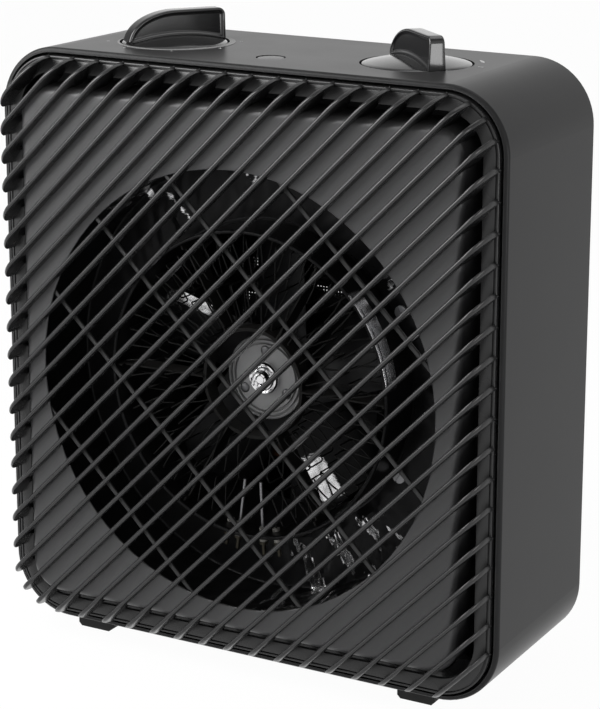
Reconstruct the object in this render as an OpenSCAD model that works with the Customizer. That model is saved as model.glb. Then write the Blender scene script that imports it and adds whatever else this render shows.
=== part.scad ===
// Compact electric fan heater: a moulded case with a diagonal-rib front grille,
// two rotary knobs on top, and a fan that blows through two wound heating coils.
// Millimetres, Z up. The front faces -Y, the feet stand on Z = 0 and the origin
// is the middle of the outer box in X and Y.

/* [Case] */
// Width of the case across the front
housing_w = 233; // [226:1:260]
// Height of the case without the feet
housing_h = 250; // [240:1:280]
// Depth of the case from the front lip to its rear edge
housing_d = 82; // [78:1:90]
// Corner radius of the case seen from the front
corner_r = 26.5; // [24:0.5:34]
// Wall thickness of the case
wall = 2; // [1.6:0.1:2.6]
// Rounding of the outer front edge
lip_round = 1.5; // [0.5:0.1:1.5]
// Width of the inner ledge that carries the grille and the bulkhead
ledge_w = 9; // [8:0.5:10]
// Thickness of that ledge
ledge_t = 3; // [2:0.5:4]
// Depth of the grille seat behind the lip
ledge_q = 10; // [9:0.5:10]

/* [Front grille] */
// Gap between the case wall and the grille
grille_gap = 1.3; // [0.8:0.1:1.8]
// Width of the flat flange round the ribs
flange_w = 7; // [6.8:0.1:9]
// Thickness of the flange
flange_t = 2; // [1.5:0.1:3]
// How far the flange stands in front of the lip
flange_proud = 1.2; // [0:0.1:2]
// Width of the bead along the outer edge of the flange
bead_w = 1; // [0.8:0.1:1.4]
// Width of the step line inside the bead
step_w = 0.5; // [0.3:0.1:0.8]
// Depth of the step line
step_d = 0.6; // [0.3:0.1:1]
// Thickness of the skirt behind the flange
skirt_t = 1.6; // [1.4:0.1:2]
// Spacing of the diagonal ribs
rib_pitch = 8.6; // [8:0.1:12]
// Thickness of a rib
rib_t = 2; // [1.6:0.1:2.6]
// How far the rib noses stand in front of the lip
rib_proud = 13.5; // [12.5:0.1:18]
// Length over which a rib end curves down to the flange
rib_run = 8.2; // [6:0.1:12]
// Gap between the backs of the ribs and the baffle
rib_gap = 0.3; // [0.2:0.1:0.6]

/* [Baffle and guard bars] */
// Width of the dark groove between flange and baffle
groove_w = 4.4; // [4:0.1:5]
// How far the baffle stands in front of the lip
plate_proud = 9; // [8.6:0.1:9.4]
// Corner radius of the baffle seen from the front
plate_r = 13; // [11:0.5:16]
// Rounding of the baffle's front border
plate_round = 5; // [3:0.5:6]
// Thickness of the sheet metal of the baffle and the bulkhead
sheet_t = 1; // [0.8:0.1:1.2]
// Radius of the round air opening
opening_r = 91.9; // [86:0.1:93]
// Height of the fan axis above the underside of the case
fan_z = 117.2; // [116:0.1:124]
// Width of the baffle's rear flange
baffle_flange_w = 4.6; // [4.2:0.1:4.8]
// Number of guard bars across the opening
bar_count = 5; // [3:2:5]
// Spacing of the guard bars
bar_pitch = 39.28; // [36:0.01:42]
// Width of a guard bar
bar_w = 1.8; // [1.4:0.1:2.6]
// Thickness of a guard bar
bar_t = 1.5; // [1:0.1:2]
// How far a bar runs past the edge of the opening
bar_overlap = 5; // [4:0.5:6]

/* [Air duct and heater ring] */
// Inner radius of the air duct
duct_r = 94.2; // [93.5:0.1:94.6]
// Wall of the air duct
duct_t = 0.8; // [0.6:0.1:1]
// Depth of the duct's floor behind the lip, at its rear face
duct_floor_q = 25; // [24:0.5:26]
// Width of the duct's mounting flange
duct_flange_w = 6; // [5.5:0.5:8]
// Inner radius of the heater ring
ring_r = 64; // [63:0.5:66]
// Wall of the heater ring
ring_t = 1; // [0.8:0.1:1.2]
// Depth of the ring's front edge
ring_q0 = 2; // [1:0.5:4]
// Depth of the ring's rear edge
ring_q1 = 48; // [46.5:0.5:50]
// Width of the flange halfway along the ring
ring_flange_w = 9; // [8:0.5:10]
// Width of the flange at the rear of the ring
ring_rear_w = 7; // [6.5:0.5:8]

/* [Heating coils] */
// Radius of the heating wire
wire_r = 0.35; // [0.3:0.05:0.4]
// Depth of the front strands
coil_q0 = 5.5; // [4.5:0.5:6]
// Depth of the rear strands
coil_q1 = 16; // [15:0.5:17]
// Radius where the outer coil turns on the outside
coil_out_r1 = 61; // [60:0.5:61]
// Radius where the outer coil turns on the inside
coil_out_r0 = 46; // [46:0.5:50]
// Turns that the outer coil would have on a full circle
coil_out_n = 54; // [48:6:54]
// Radius where the inner coil turns on the outside
coil_in_r1 = 42; // [40:0.5:42]
// Radius where the inner coil turns on the inside
coil_in_r0 = 26; // [26:0.5:30]
// Turns that the inner coil would have on a full circle
coil_in_n = 36; // [30:6:36]
// Number of mica boards
board_n = 6; // [6:1:6]
// Thickness of a mica board
board_t = 0.7; // [0.5:0.1:0.8]
// Gap between the wire and the front and rear edges of a board
board_gap = 0.35; // [0.3:0.05:0.6]
// Radius of a ceramic bush
bush_r = 1.6; // [1.4:0.1:1.8]

/* [Fan] */
// Radius of the fan over its blade tips
fan_r = 60; // [56:0.5:61]
// Number of blades
blade_n = 5; // [4:1:5]
// Width of a blade along its curve
blade_chord = 36; // [30:1:38]
// Pitch of the blades in degrees
blade_pitch = 27; // [20:1:28]
// Thickness of a blade
blade_t = 1.2; // [1:0.1:1.6]
// Radius of the blade's camber
blade_camber = 55; // [50:1:80]
// Radius of the hub
hub_r = 18; // [17:0.5:19]
// Depth of the hub's front face
hub_q = 18; // [17.5:0.1:18.5]
// Thickness of the hub cap
hub_cap_t = 4; // [3:0.5:4]
// Depth of the drum's rear edge
drum_q = 39; // [38:0.5:40]
// Wall of the drum
drum_t = 1.6; // [1.2:0.1:2]
// Radius of the circle of rivets in the hub
rivet_pcd_r = 11.5; // [11:0.1:12]
// Radius of a rivet's head
rivet_r = 2.2; // [1.8:0.1:2.4]

/* [Motor] */
// Radius of the motor shaft
shaft_r = 2.5; // [2:0.1:2.6]
// Radial running clearance of shafts and plungers
run_gap = 0.05; // [0.02:0.01:0.1]
// Thickness of the motor's mounting frame
frame_t = 1.5; // [1.2:0.1:2]
// Width of a frame arm
frame_arm_w = 11; // [9:0.5:12]
// Depth of the stator's front face
stator_q = 58; // [57:0.5:60]
// Thickness of the stator's stack of sheets
stator_t = 18; // [14:0.5:18]
// Width of the stator
stator_w = 62; // [60:1:66]
// Height of the stator above the shaft
stator_top = 22; // [20:0.5:24]
// Radius of the rotor
rotor_r = 15; // [14:0.5:15.5]
// Air gap between rotor and stator
air_gap = 0.4; // [0.3:0.05:0.6]
// Distance of the motor bolts from the shaft
bolt_x = 24.5; // [23.5:0.5:25.5]
// Radius of the motor bolts
bolt_r = 2; // [1.5:0.1:2.2]
// Thickness of the bearing brackets
bracket_t = 2.5; // [2:0.1:3]
// Radius of a bearing
bearing_r = 5; // [4.5:0.1:5.5]

/* [Knobs] */
// Distance of each knob from the middle of the case
knob_x = 57; // [54:0.5:64]
// Depth of the knob axes behind the lip
knob_q = 40.5; // [39:0.5:46]
// Radius of the wells in the top of the case
well_r = 23; // [22.6:0.1:24]
// Depth of the wells
well_d = 5; // [4.8:0.1:6]
// Radius of a knob
knob_r = 22.2; // [21.5:0.1:22.4]
// Height of the dome of a knob
dome_h = 3; // [2:0.1:4]
// Height of the grip above the top of the case
fin_h = 13.5; // [11:0.5:16]
// Thickness of the grip
fin_t = 7.6; // [6:0.1:9]
// Depth of the hollow in each side of the grip
fin_dish = 0.5; // [0.3:0.1:0.8]
// Width of the rim round that hollow
fin_rim = 1.5; // [1.2:0.1:2]
// Direction of the tall end of the heat selector's grip in degrees
mode_angle = 56.5; // [0:0.5:90]
// Direction of the tall end of the thermostat's grip in degrees
thermo_angle = -42; // [-90:0.5:0]
// Radius of the control shafts
control_r = 3; // [2.5:0.1:3.2]
// Side of the switch bodies
switch_w = 30; // [26:1:32]
// Height of the switch bodies
switch_h = 19; // [16:0.5:19]

/* [Lamp] */
// Radius of the lamp's lens
lens_r = 6; // [5:0.5:7]
// Depth of the lamp behind the lip
lens_q = 23; // [20:0.5:26]
// Height of the lamp holder below the lens
lamp_h = 5; // [4:0.5:6]
// Length of the lamp's terminals
lamp_tab = 3; // [2:0.5:4]

/* [Rear cover] */
// Thickness of the cover's plate
cover_t = 2.5; // [2:0.1:3]
// How far the cover bulges behind the case
bulge_d = 24; // [23.5:0.5:30]
// Distance of the bulge from the outline of the case
bulge_inset = 14; // [13:0.5:18]
// Corner radius of the bulge
bulge_r = 20; // [18:0.5:24]
// Rounding of the bulge's rear edge
bulge_round = 6; // [4:0.5:7]
// Radius of the field of air slots
slots_r = 62; // [54:1:64]
// Spacing of the air slots
slot_pitch = 8; // [7:0.5:10]
// Width of an air slot
slot_w = 4; // [3:0.5:4.5]
// Width of the carrying recess
handle_w = 92; // [86:1:100]
// Height of the mouth of the carrying recess
handle_h = 24; // [22:1:26]
// Height of the lower edge of that mouth
handle_z = 190; // [189:1:191]
// Depth of the carrying recess
handle_d = 22; // [20:0.5:23]
// Height of the finger space above the mouth
finger_h = 8; // [6:0.5:9]
// Thickness of the bar in front of the fingers
finger_bar = 6; // [5:0.5:7]

/* [Feet and tip switch] */
// Height of the feet
foot_h = 5; // [4:0.5:8]
// Width of a foot
foot_w = 17; // [14:0.5:20]
// Length of a foot
foot_l = 12; // [10:0.5:14]
// Distance of a foot's middle from the middle of the case
foot_x = 78.5; // [70:0.5:80]
// Depth of the feet's front edge behind the lip
foot_q = 4; // [3:0.5:6]
// Radius of the tip switch's plunger
plunger_r = 4; // [3.5:0.1:4.5]
// Distance that the plunger drops when the heater is lifted
plunger_stroke = 6; // [4:0.5:6.5]

/* [Cord inlet] */
// Distance of the cord inlet from the side of the case
gland_side = 42.5; // [41:0.5:45]
// Height of the cord inlet above the underside of the case
gland_z = 34; // [33:0.5:36]
// Radius of the hole for the cord
cord_r = 3.8; // [3:0.1:4]

/* [Screws] */
// Radius of a small screw
screw_r = 1.35; // [1.2:0.05:1.5]
// Clearance of a screw in its hole
screw_gap = 0.1; // [0.05:0.05:0.2]
// Radius of a screw's head
head_r = 2.7; // [2.4:0.1:2.8]
// Height of a screw's head
head_t = 1.8; // [1.4:0.1:2.2]

/* [Hidden] */
$fn = 64;

eps = 0.01;
// Everything below is measured from the front lip (depth) and from the underside of the case
depth_all = rib_proud + housing_d + bulge_d;
lip_y = rib_proud - depth_all / 2;
rear_q = housing_d + bulge_d;
// Grille
grille_w = housing_w - 2 * (wall + grille_gap);
grille_h = housing_h - 2 * (wall + grille_gap);
grille_r = corner_r - wall - grille_gap;
mid_z = housing_h / 2;
// Baffle
plate_w = grille_w - 2 * (flange_w + groove_w);
plate_h = grille_h - 2 * (flange_w + groove_w);
bulkhead_q = ledge_q + ledge_t;
bulkhead_gap = 0.5;
bulkhead_w = housing_w - 2 * (wall + bulkhead_gap);
bulkhead_h = housing_h - 2 * (wall + bulkhead_gap);
bulkhead_r = corner_r - wall - bulkhead_gap;
bulkhead_hole_r = duct_r + duct_t + bulkhead_gap;
bulkhead_back = bulkhead_q + sheet_t;
bar_q = sheet_t - plate_proud;
duct_q0 = bar_q + bar_t + rib_gap;
// Screw places
side_x = grille_w / 2 - skirt_t - 2.6;
side_boss_r = 2.8;
side_z = [mid_z - 70, mid_z + 70];
baffle_screw_u = plate_r - sheet_t - baffle_flange_w / 2;
baffle_x = plate_w / 2 - plate_r + baffle_screw_u / sqrt(2);
baffle_z = plate_h / 2 - plate_r + baffle_screw_u / sqrt(2);
duct_screw_r = duct_r + duct_t + duct_flange_w / 2;
ring_screw_r = ring_r + ring_t + ring_flange_w / 2;
rear_screw_r = ring_r + ring_t + ring_rear_w / 2;
duct_angles = [45, 135, 225, 315];
ring_angles = [30, 150, 210, 330];
arm_angles = [0, 90, 180, 270];
// Coils
coil_mid_q = (coil_q0 + coil_q1) / 2;
board_q0 = coil_q0 + wire_r + board_gap;
board_q1 = coil_q1 - wire_r - board_gap;
board_r0 = coil_in_r0 - 2.4;
board_r1 = ring_r - 0.3;
board_ring_in = 1;
outer_pitch = 360 / coil_out_n;
inner_pitch = 360 / coil_in_n;
free_angle = 270;
// The boards lie a quarter of a turn from the strands of both coils
outer_start = free_angle + 30 - outer_pitch / 4 - outer_pitch * floor(22 / outer_pitch);
outer_turns = coil_out_n - round(20 / outer_pitch);
inner_start = free_angle + 30 - inner_pitch * 3 / 4 - inner_pitch * floor(20 / inner_pitch);
inner_turns = coil_in_n - 1;
bush_r0 = coil_out_r1 + 1.8;
bush_r1 = ring_r + ring_t + 4;
link_r0 = coil_in_r1 + 1.3;
bush_angles = [outer_start, outer_start + outer_turns * outer_pitch,
  inner_start, inner_start + inner_turns * inner_pitch];
coil_round = 1.4;
// Motor
frame_q = ring_q1;
bracket_q = frame_q + frame_t;
frame_hub_r = 33;
frame_bore_r = 13;
shaft_q1 = stator_q + stator_t + 14;
rear_bracket_q = stator_q + stator_t + 6;
bearing_len = 8;
boss_r = bearing_r + 3.5;
spacer_r = bolt_r + 3;
nut_t = 3;
hub_nut_t = 3;
hub_tip_t = 2;
rivet_angles = [90, 210, 330];
rivet_t = 1;
rivet_back_t = 0.8;
rivet_grip = 2;
rivet_shank_r = rivet_r - 0.7;
// Knobs
well_t = 1.6;
top_z = housing_h;
well_z = top_z - well_d;
knob_gap = 0.3;
bush_top = well_z + 2.6;
control_nut_t = 2;
control_bush_r = control_r + 1.6;
switch_z = well_z - well_t - switch_h;
lens_flange_t = 1.5;
dome_r = (knob_r * knob_r + dome_h * dome_h) / (2 * dome_h);
fin_half = knob_r - 0.2;
// Cover
gland_x = housing_w / 2 - gland_side;
cover_gap = 0.5;
cover_q = housing_d - cover_t - cover_gap;
cover_w = housing_w - 2 * (wall + cover_gap);
cover_h = housing_h - 2 * (wall + cover_gap);
bulge_w = housing_w - 2 * bulge_inset;
bulge_h = housing_h - 2 * bulge_inset;
bulge_t = 2;
boss_cover_r = 4.5;
boss_cover_u = (corner_r - wall - boss_cover_r + 1) / sqrt(2);
boss_x = housing_w / 2 - corner_r + boss_cover_u;
boss_z = corner_r - boss_cover_u;
cover_screw_r = 1.7;
pocket_t = 2;
// Feet and tip switch
foot_plug_r = 3;
block_x = 28;
block_w = 36;
block_l = 16;
block_h = 13;
block_pitch = 12;
block_row = 4;
block_floor = 5;
block_bore_r = 2.2;
block_gap = 3;
block_q = cover_q - block_gap - block_l;
tip_w = 28;
tip_l = 18;
tip_h = 14;
tip_leg_w = 4;
foot_rows = [foot_q, housing_d - foot_q - foot_l];
plunger_x = -38;
plunger_q = cover_q - cover_gap - tip_l / 2;
plunger_lift = 0.2;
collar_r = plunger_r + 1.6;
collar_t = 1.5;
collar_z = wall + plunger_stroke;
spring_h = 7;
tip_body_z = collar_z + collar_t + spring_h;
stem_r = 2.4;
stem_top = tip_body_z + 3.5;

// Shared shapes

// Puts a part in place: its depth starts at the front lip, its height at the underside of the case
module stand() {
  translate([0, lip_y, foot_h]) children();
}

// Turns a drawing so that its height points up and its thickness runs backwards from depth q
module face_on(q = 0) {
  translate([0, q, 0])
    mirror([0, 1, 0])
      rotate([90, 0, 0]) children();
}

// The same, with the drawing's middle on the fan axis
module on_axis(q = 0) {
  translate([0, 0, fan_z]) face_on(q) children();
}

// The same, with the drawing's middle on the middle of the case
module on_middle(q = 0) {
  translate([0, 0, mid_z]) face_on(q) children();
}

// Flat ring
module ring(outer, inner, h) {
  difference() {
    cylinder(r = outer, h = h);
    translate([0, 0, -1]) cylinder(r = inner, h = h + 2);
  }
}

// Rectangle with round corners
module round_rect(w, h, r) {
  square([w - 2 * r, h], center = true);
  square([w, h - 2 * r], center = true);
  for (x = [-1, 1], y = [-1, 1])
    translate([x * (w / 2 - r), y * (h / 2 - r)]) circle(r);
}

// Sweeps a section round a rectangle with round corners. The section's x is the
// distance from the centre of the corner and its y is the depth.
module loop_sweep(w, h, r) {
  for (k = [0:3]) {
    a = k % 2 == 0 ? w : h;
    b = k % 2 == 0 ? h : w;
    rotate(90 * k)
      translate([a / 2 - r, b / 2 - r, 0])
        rotate_extrude(angle = 90) children();
    rotate(90 * k)
      translate([a / 2 - r, b / 2 - r, 0])
        rotate([90, 0, 0])
          linear_extrude(b - 2 * r) children();
  }
}

// Fills the middle that a sweep leaves open
module loop_core(w, h, r, q0, q1) {
  translate([r - w / 2, r - h / 2, q0]) cube([w - 2 * r, h - 2 * r, q1 - q0]);
}

// Block with the baffle's outline and its rounded front border, larger by grow
module plate_block(grow, q1) {
  r = plate_r + grow;
  e = plate_round + grow;
  q0 = -plate_proud - grow;
  w = plate_w + 2 * grow;
  h = plate_h + 2 * grow;
  border = [for (a = [0:15:90]) [r - e + e * sin(a), q0 + e - e * cos(a)]];
  loop_sweep(w, h, r) polygon(concat([[0, q1], [0, q0]], border, [[r, q1]]));
  loop_core(w, h, r, q0, q1);
}

// Pan-head screw: head behind z = 0, shank in front of it
module screw(length, r = screw_r, head = head_r, t = head_t) {
  translate([0, 0, -length]) cylinder(r = r, h = length + eps);
  difference() {
    cylinder(r = head, h = t);
    translate([-0.4, -head, t - 0.7]) cube([0.8, 2 * head, 1]);
  }
}

// Sets copies round the axis at a radius
module around(angles, r) {
  for (a = angles) rotate(a) translate([r, 0, 0]) children();
}

// Spreads copies over the four corners
module corners(x, y) {
  for (a = [-1, 1], b = [-1, 1]) translate([a * x, b * y, 0]) children();
}

// Case

module housing_section() {
  difference() {
    union() {
      translate([0, lip_round]) square([corner_r, housing_d - lip_round]);
      square([corner_r - lip_round, housing_d]);
      translate([corner_r - lip_round, lip_round]) circle(lip_round);
    }
    translate([-1, -1]) square([corner_r - wall + 1, housing_d + 2]);
  }
}

module housing_shell() {
  color([0.24, 0.24, 0.25]) stand() difference() {
    union() {
      on_middle() loop_sweep(housing_w, housing_h, corner_r) housing_section();
      // Ledge for the grille and the bulkhead
      on_middle() difference() {
        translate([0, 0, ledge_q])
          linear_extrude(ledge_t)
            round_rect(housing_w - wall, housing_h - wall, corner_r - wall / 2);
        translate([0, 0, ledge_q - 1])
          linear_extrude(ledge_t + 2)
            round_rect(housing_w - 2 * (wall + ledge_w), housing_h - 2 * (wall + ledge_w),
              corner_r - wall - ledge_w);
      }
      // Knob wells
      for (s = [-1, 1])
        translate([s * knob_x, knob_q, well_z - well_t])
          cylinder(r = well_r + well_t, h = well_d + well_t - eps);
      // Bosses for the cover's screws
      for (x = [-boss_x, boss_x], z = [boss_z, housing_h - boss_z])
        translate([x, 0, z]) face_on(cover_q - 16) cylinder(r = boss_cover_r, h = 16);
      // Collar of the tip switch's plunger
      translate([plunger_x, plunger_q, 0]) cylinder(r = plunger_r + 2, h = collar_z - plunger_stroke);
    }
    for (s = [-1, 1]) {
      translate([s * knob_x, knob_q, well_z]) cylinder(r = well_r, h = well_d + 1);
      translate([s * knob_x, knob_q, well_z - well_t - 1])
        cylinder(r = control_bush_r + run_gap, h = well_t + 2);
      for (z = side_z)
        translate([s * side_x, 0, z])
          face_on(ledge_q - 1) cylinder(r = screw_r + screw_gap, h = ledge_t + 2);
    }
    for (x = [-boss_x, boss_x], z = [boss_z, housing_h - boss_z])
      translate([x, 0, z]) face_on(cover_q - 14) cylinder(r = cover_screw_r + run_gap, h = 15);
    translate([0, lens_q, housing_h - wall - 1]) cylinder(r = lens_r + screw_gap, h = wall + 2);
    for (x = [-foot_x, foot_x], q = foot_rows)
      translate([x, q + foot_l / 2, -1]) cylinder(r = foot_plug_r + run_gap, h = wall + 2);
    translate([plunger_x, plunger_q, -1]) cylinder(r = plunger_r + run_gap, h = collar_z + 2);
  }
}

// Front grille

// Outline of the space that the ribs fill, with their ends curving down to the flange
module rib_envelope() {
  rise = rib_proud - flange_proud;
  curve = [for (a = [0:11.25:90])
    [grille_r - rib_run + rib_run * sin(a), -flange_proud - rise * cos(a)]];
  back = flange_t / 2 - flange_proud;
  loop_sweep(grille_w, grille_h, grille_r)
    polygon(concat([[0, back], [0, -rib_proud]], curve, [[grille_r, back]]));
  loop_core(grille_w, grille_h, grille_r, -rib_proud, back);
}

// One rib's cross-section, nose at the left
module rib_section() {
  t = rib_t / 2;
  polygon([[-rib_proud, -0.3 * t], [-rib_proud, 0.3 * t], [-rib_proud + 0.25, 0.75 * t],
    [-rib_proud + 0.8, t], [flange_t / 2 - flange_proud + 1, t],
    [flange_t / 2 - flange_proud + 1, -t], [-rib_proud + 0.8, -t], [-rib_proud + 0.25, -0.75 * t]]);
}

module ribs() {
  reach = (grille_w + grille_h) / sqrt(2) / 2 - grille_r * (sqrt(2) - 1);
  n = floor(reach / rib_pitch - 0.5);
  length = grille_w + grille_h;
  intersection() {
    rib_envelope();
    for (k = [-n - 1:n])
      rotate(45)
        translate([-length / 2, (k + 0.5) * rib_pitch, 0])
          rotate([0, 90, 0])
            mirror([1, 0, 0]) linear_extrude(length) rib_section();
  }
}

module front_grille() {
  color([0.13, 0.13, 0.14]) stand() on_middle() difference() {
    union() {
      difference() {
        ribs();
        plate_block(rib_gap, 5);
      }
      // Flange with its bead and step line
      difference() {
        translate([0, 0, -flange_proud]) linear_extrude(flange_t) round_rect(grille_w, grille_h, grille_r);
        translate([0, 0, -flange_proud - 1])
          linear_extrude(flange_t + 2)
            round_rect(grille_w - 2 * flange_w, grille_h - 2 * flange_w, grille_r - flange_w);
        translate([0, 0, -flange_proud - eps]) linear_extrude(step_d) difference() {
          round_rect(grille_w - 2 * bead_w, grille_h - 2 * bead_w, grille_r - bead_w);
          round_rect(grille_w - 2 * (bead_w + step_w), grille_h - 2 * (bead_w + step_w),
            grille_r - bead_w - step_w);
        }
      }
      // Skirt that reaches back to the ledge
      difference() {
        linear_extrude(ledge_q) round_rect(grille_w, grille_h, grille_r);
        translate([0, 0, -1])
          linear_extrude(ledge_q + 2)
            round_rect(grille_w - 2 * skirt_t, grille_h - 2 * skirt_t, grille_r - skirt_t);
      }
      for (x = [-side_x, side_x], z = side_z)
        translate([x, z - mid_z, 0]) cylinder(r = side_boss_r, h = ledge_q);
    }
    for (x = [-side_x, side_x], z = side_z)
      translate([x, z - mid_z, 2]) cylinder(r = screw_r + run_gap, h = ledge_q);
  }
}

// Baffle, bars, bulkhead

module baffle_plate() {
  color([0.33, 0.33, 0.34]) stand() on_middle() difference() {
    union() {
      difference() {
        plate_block(0, bulkhead_q);
        plate_block(-sheet_t, bulkhead_q + 1);
      }
      translate([0, 0, bulkhead_q - sheet_t]) linear_extrude(sheet_t) difference() {
        round_rect(plate_w - sheet_t, plate_h - sheet_t, plate_r - sheet_t / 2);
        round_rect(plate_w - 2 * (sheet_t + baffle_flange_w), plate_h - 2 * (sheet_t + baffle_flange_w),
          plate_r - sheet_t - baffle_flange_w);
      }
    }
    translate([0, fan_z - mid_z, -plate_proud - 1]) cylinder(r = opening_r, h = sheet_t + 2, $fn = 128);
    corners(baffle_x, baffle_z)
      translate([0, 0, bulkhead_q - sheet_t - 1]) cylinder(r = screw_r + run_gap, h = sheet_t + 2);
  }
}

module guard_bars() {
  color([0.2, 0.2, 0.21]) stand() on_axis(bar_q)
    for (k = [-(bar_count - 1) / 2:(bar_count - 1) / 2]) {
      half = sqrt(pow(opening_r + bar_overlap, 2) - pow(k * bar_pitch, 2));
      rotate(-45) translate([-half, k * bar_pitch - bar_w / 2, 0]) cube([2 * half, bar_w, bar_t]);
    }
}

module bulkhead_plate() {
  color([0.55, 0.55, 0.56]) stand() on_middle(bulkhead_q) difference() {
    linear_extrude(sheet_t) round_rect(bulkhead_w, bulkhead_h, bulkhead_r);
    translate([0, fan_z - mid_z, -1]) cylinder(r = bulkhead_hole_r, h = sheet_t + 2, $fn = 128);
    for (x = [-side_x, side_x], z = side_z)
      translate([x, z - mid_z, -1]) cylinder(r = screw_r + screw_gap, h = sheet_t + 2);
    corners(baffle_x, baffle_z) translate([0, 0, -1]) cylinder(r = screw_r + screw_gap, h = sheet_t + 2);
    translate([0, fan_z - mid_z, -1])
      around(duct_angles, duct_screw_r) cylinder(r = screw_r + run_gap, h = sheet_t + 2);
  }
}

// Air duct, ring, heating element

module reflector_pan() {
  color([0.75, 0.75, 0.76]) stand() difference() {
    union() {
      on_axis(duct_q0) ring(duct_r + duct_t, duct_r, duct_floor_q - duct_q0, $fn = 128);
      on_axis(duct_floor_q - duct_t) ring(duct_r + duct_t / 2, ring_r + 2 * ring_t, duct_t, $fn = 128);
      on_axis(bulkhead_back) ring(duct_r + duct_t + duct_flange_w, duct_r + duct_t / 2, duct_t, $fn = 128);
    }
    on_axis(bulkhead_back - 1)
      around(duct_angles, duct_screw_r) cylinder(r = screw_r + screw_gap, h = duct_t + 2);
    on_axis(duct_floor_q - duct_t - 1)
      around(ring_angles, ring_screw_r) cylinder(r = screw_r + screw_gap, h = duct_t + 2);
  }
}

module heater_ring() {
  color([0.78, 0.78, 0.79]) stand() difference() {
    union() {
      on_axis(ring_q0) ring(ring_r + ring_t, ring_r, ring_q1 - ring_q0, $fn = 128);
      on_axis(duct_floor_q) ring(ring_r + ring_t + ring_flange_w, ring_r + ring_t / 2, duct_t, $fn = 128);
      on_axis(ring_q1 - duct_t) ring(ring_r + ring_t + ring_rear_w, ring_r + ring_t / 2, duct_t, $fn = 128);
    }
    on_axis(duct_floor_q - 1)
      around(ring_angles, ring_screw_r) cylinder(r = screw_r + run_gap, h = duct_t + 2);
    on_axis(ring_q1 - duct_t - 1)
      around(arm_angles, rear_screw_r) cylinder(r = screw_r + run_gap, h = duct_t + 2);
    on_axis(coil_mid_q)
      around(bush_angles, ring_r - 2)
        rotate([0, 90, 0]) cylinder(r = bush_r + run_gap, h = ring_t + 4);
  }
}

// Outline of one board, radius against depth, with the taller tab that rests in the ring
module board_outline() {
  tab_r = coil_out_r1 + wire_r + board_gap;
  tab = 1.5;
  polygon([[board_r0 - board_t / 2, board_q0], [tab_r, board_q0], [tab_r, coil_q0 - tab],
    [board_r1, coil_q0 - tab], [board_r1, coil_q1 + tab], [tab_r, coil_q1 + tab],
    [tab_r, board_q1], [board_r0 - board_t / 2, board_q1]]);
}

module mica_star() {
  color([0.72, 0.66, 0.5]) stand() on_axis() {
    for (k = [0:board_n - 1])
      rotate(k * 360 / board_n)
        translate([0, board_t / 2, 0]) rotate([90, 0, 0]) linear_extrude(board_t) board_outline();
    translate([0, 0, board_q0 + board_ring_in])
      ring(board_r0, board_r0 - 2 * board_t, board_q1 - board_q0 - 2 * board_ring_in);
  }
}

// Points of one coil: a flat winding round the mica boards. Each is [radius, angle, depth].
function turn_points(r0, r1, a, p) = [
  [r1, a, coil_q0 + coil_round], [r1, a, coil_q1 - coil_round],
  [r1 - coil_round, a + 0.05 * p, coil_q1], [r0 + coil_round, a + 0.45 * p, coil_q1],
  [r0, a + 0.5 * p, coil_q1 - coil_round], [r0, a + 0.5 * p, coil_q0 + coil_round],
  [r0 + coil_round, a + 0.55 * p, coil_q0], [r1 - coil_round, a + 0.95 * p, coil_q0]
];
function coil_route(r0, r1, start, turns, p, end_r) = let (
    step = min(0.6, (end_r - r1) / 2),
    finish = start + turns * p,
    runs = [for (k = [0:turns - 1]) each turn_points(r0, r1, start + k * p, p)]
  ) concat(
    [[end_r, start, coil_mid_q], [r1 + step, start, coil_mid_q], [r1, start, coil_mid_q + step]],
    [for (i = [1:len(runs) - 1]) runs[i]],
    [[r1, finish, coil_q0 + coil_round], [r1, finish, coil_mid_q - step],
      [r1 + step, finish, coil_mid_q], [end_r, finish, coil_mid_q]]
  );
function place(p) = [p[0] * cos(p[1]), p[0] * sin(p[1]), p[2]];
function unit(v) = v / norm(v);

// Tube of six sides along a route; the side directions are carried from ring to ring
function carried(normal, dir) = unit(normal - (normal * dir) * dir);
function ring_dirs(pts) = [for (i = [0:len(pts) - 1])
  i == 0 ? unit(pts[1] - pts[0])
  : i == len(pts) - 1 ? unit(pts[i] - pts[i - 1])
  : unit(unit(pts[i] - pts[i - 1]) + unit(pts[i + 1] - pts[i]))];
function ring_normals(dirs, i = 0, last = [0, 0, 1], out = []) =
  i == len(dirs) ? out
  : let (n = carried(last, dirs[i])) ring_normals(dirs, i + 1, n, concat(out, [n]));
module wire(pts, r) {
  sides = 6;
  dirs = ring_dirs(pts);
  normals = ring_normals(dirs);
  n = len(pts);
  rows = [for (i = [0:n - 1]) for (j = [0:sides - 1])
    let (a = 360 * j / sides) pts[i] + r * (normals[i] * cos(a) + cross(dirs[i], normals[i]) * sin(a))];
  skin = [for (i = [0:n - 2]) for (j = [0:sides - 1])
    let (a = i * sides + j, b = i * sides + (j + 1) % sides)
    each [[a, b, b + sides], [a, b + sides, a + sides]]];
  first = [for (j = [1:sides - 2]) [0, j + 1, j]];
  final = [for (j = [1:sides - 2]) [(n - 1) * sides, (n - 1) * sides + j, (n - 1) * sides + j + 1]];
  polyhedron(rows, concat(skin, first, final));
}

// Least distance between the wire's centre line and its next turn, less one wire thickness
function fine(pts) = [for (i = [0:len(pts) - 2]) for (t = [0:0.25:0.75]) pts[i] * (1 - t) + pts[i + 1] * t];
function turn_gap(pts) = let (f = fine(pts), a = 40, b = 40 + 32)
  min([for (i = [a:b]) for (j = [i + 16:i + 48]) norm(f[i] - f[j])]) - 2 * wire_r;

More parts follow.
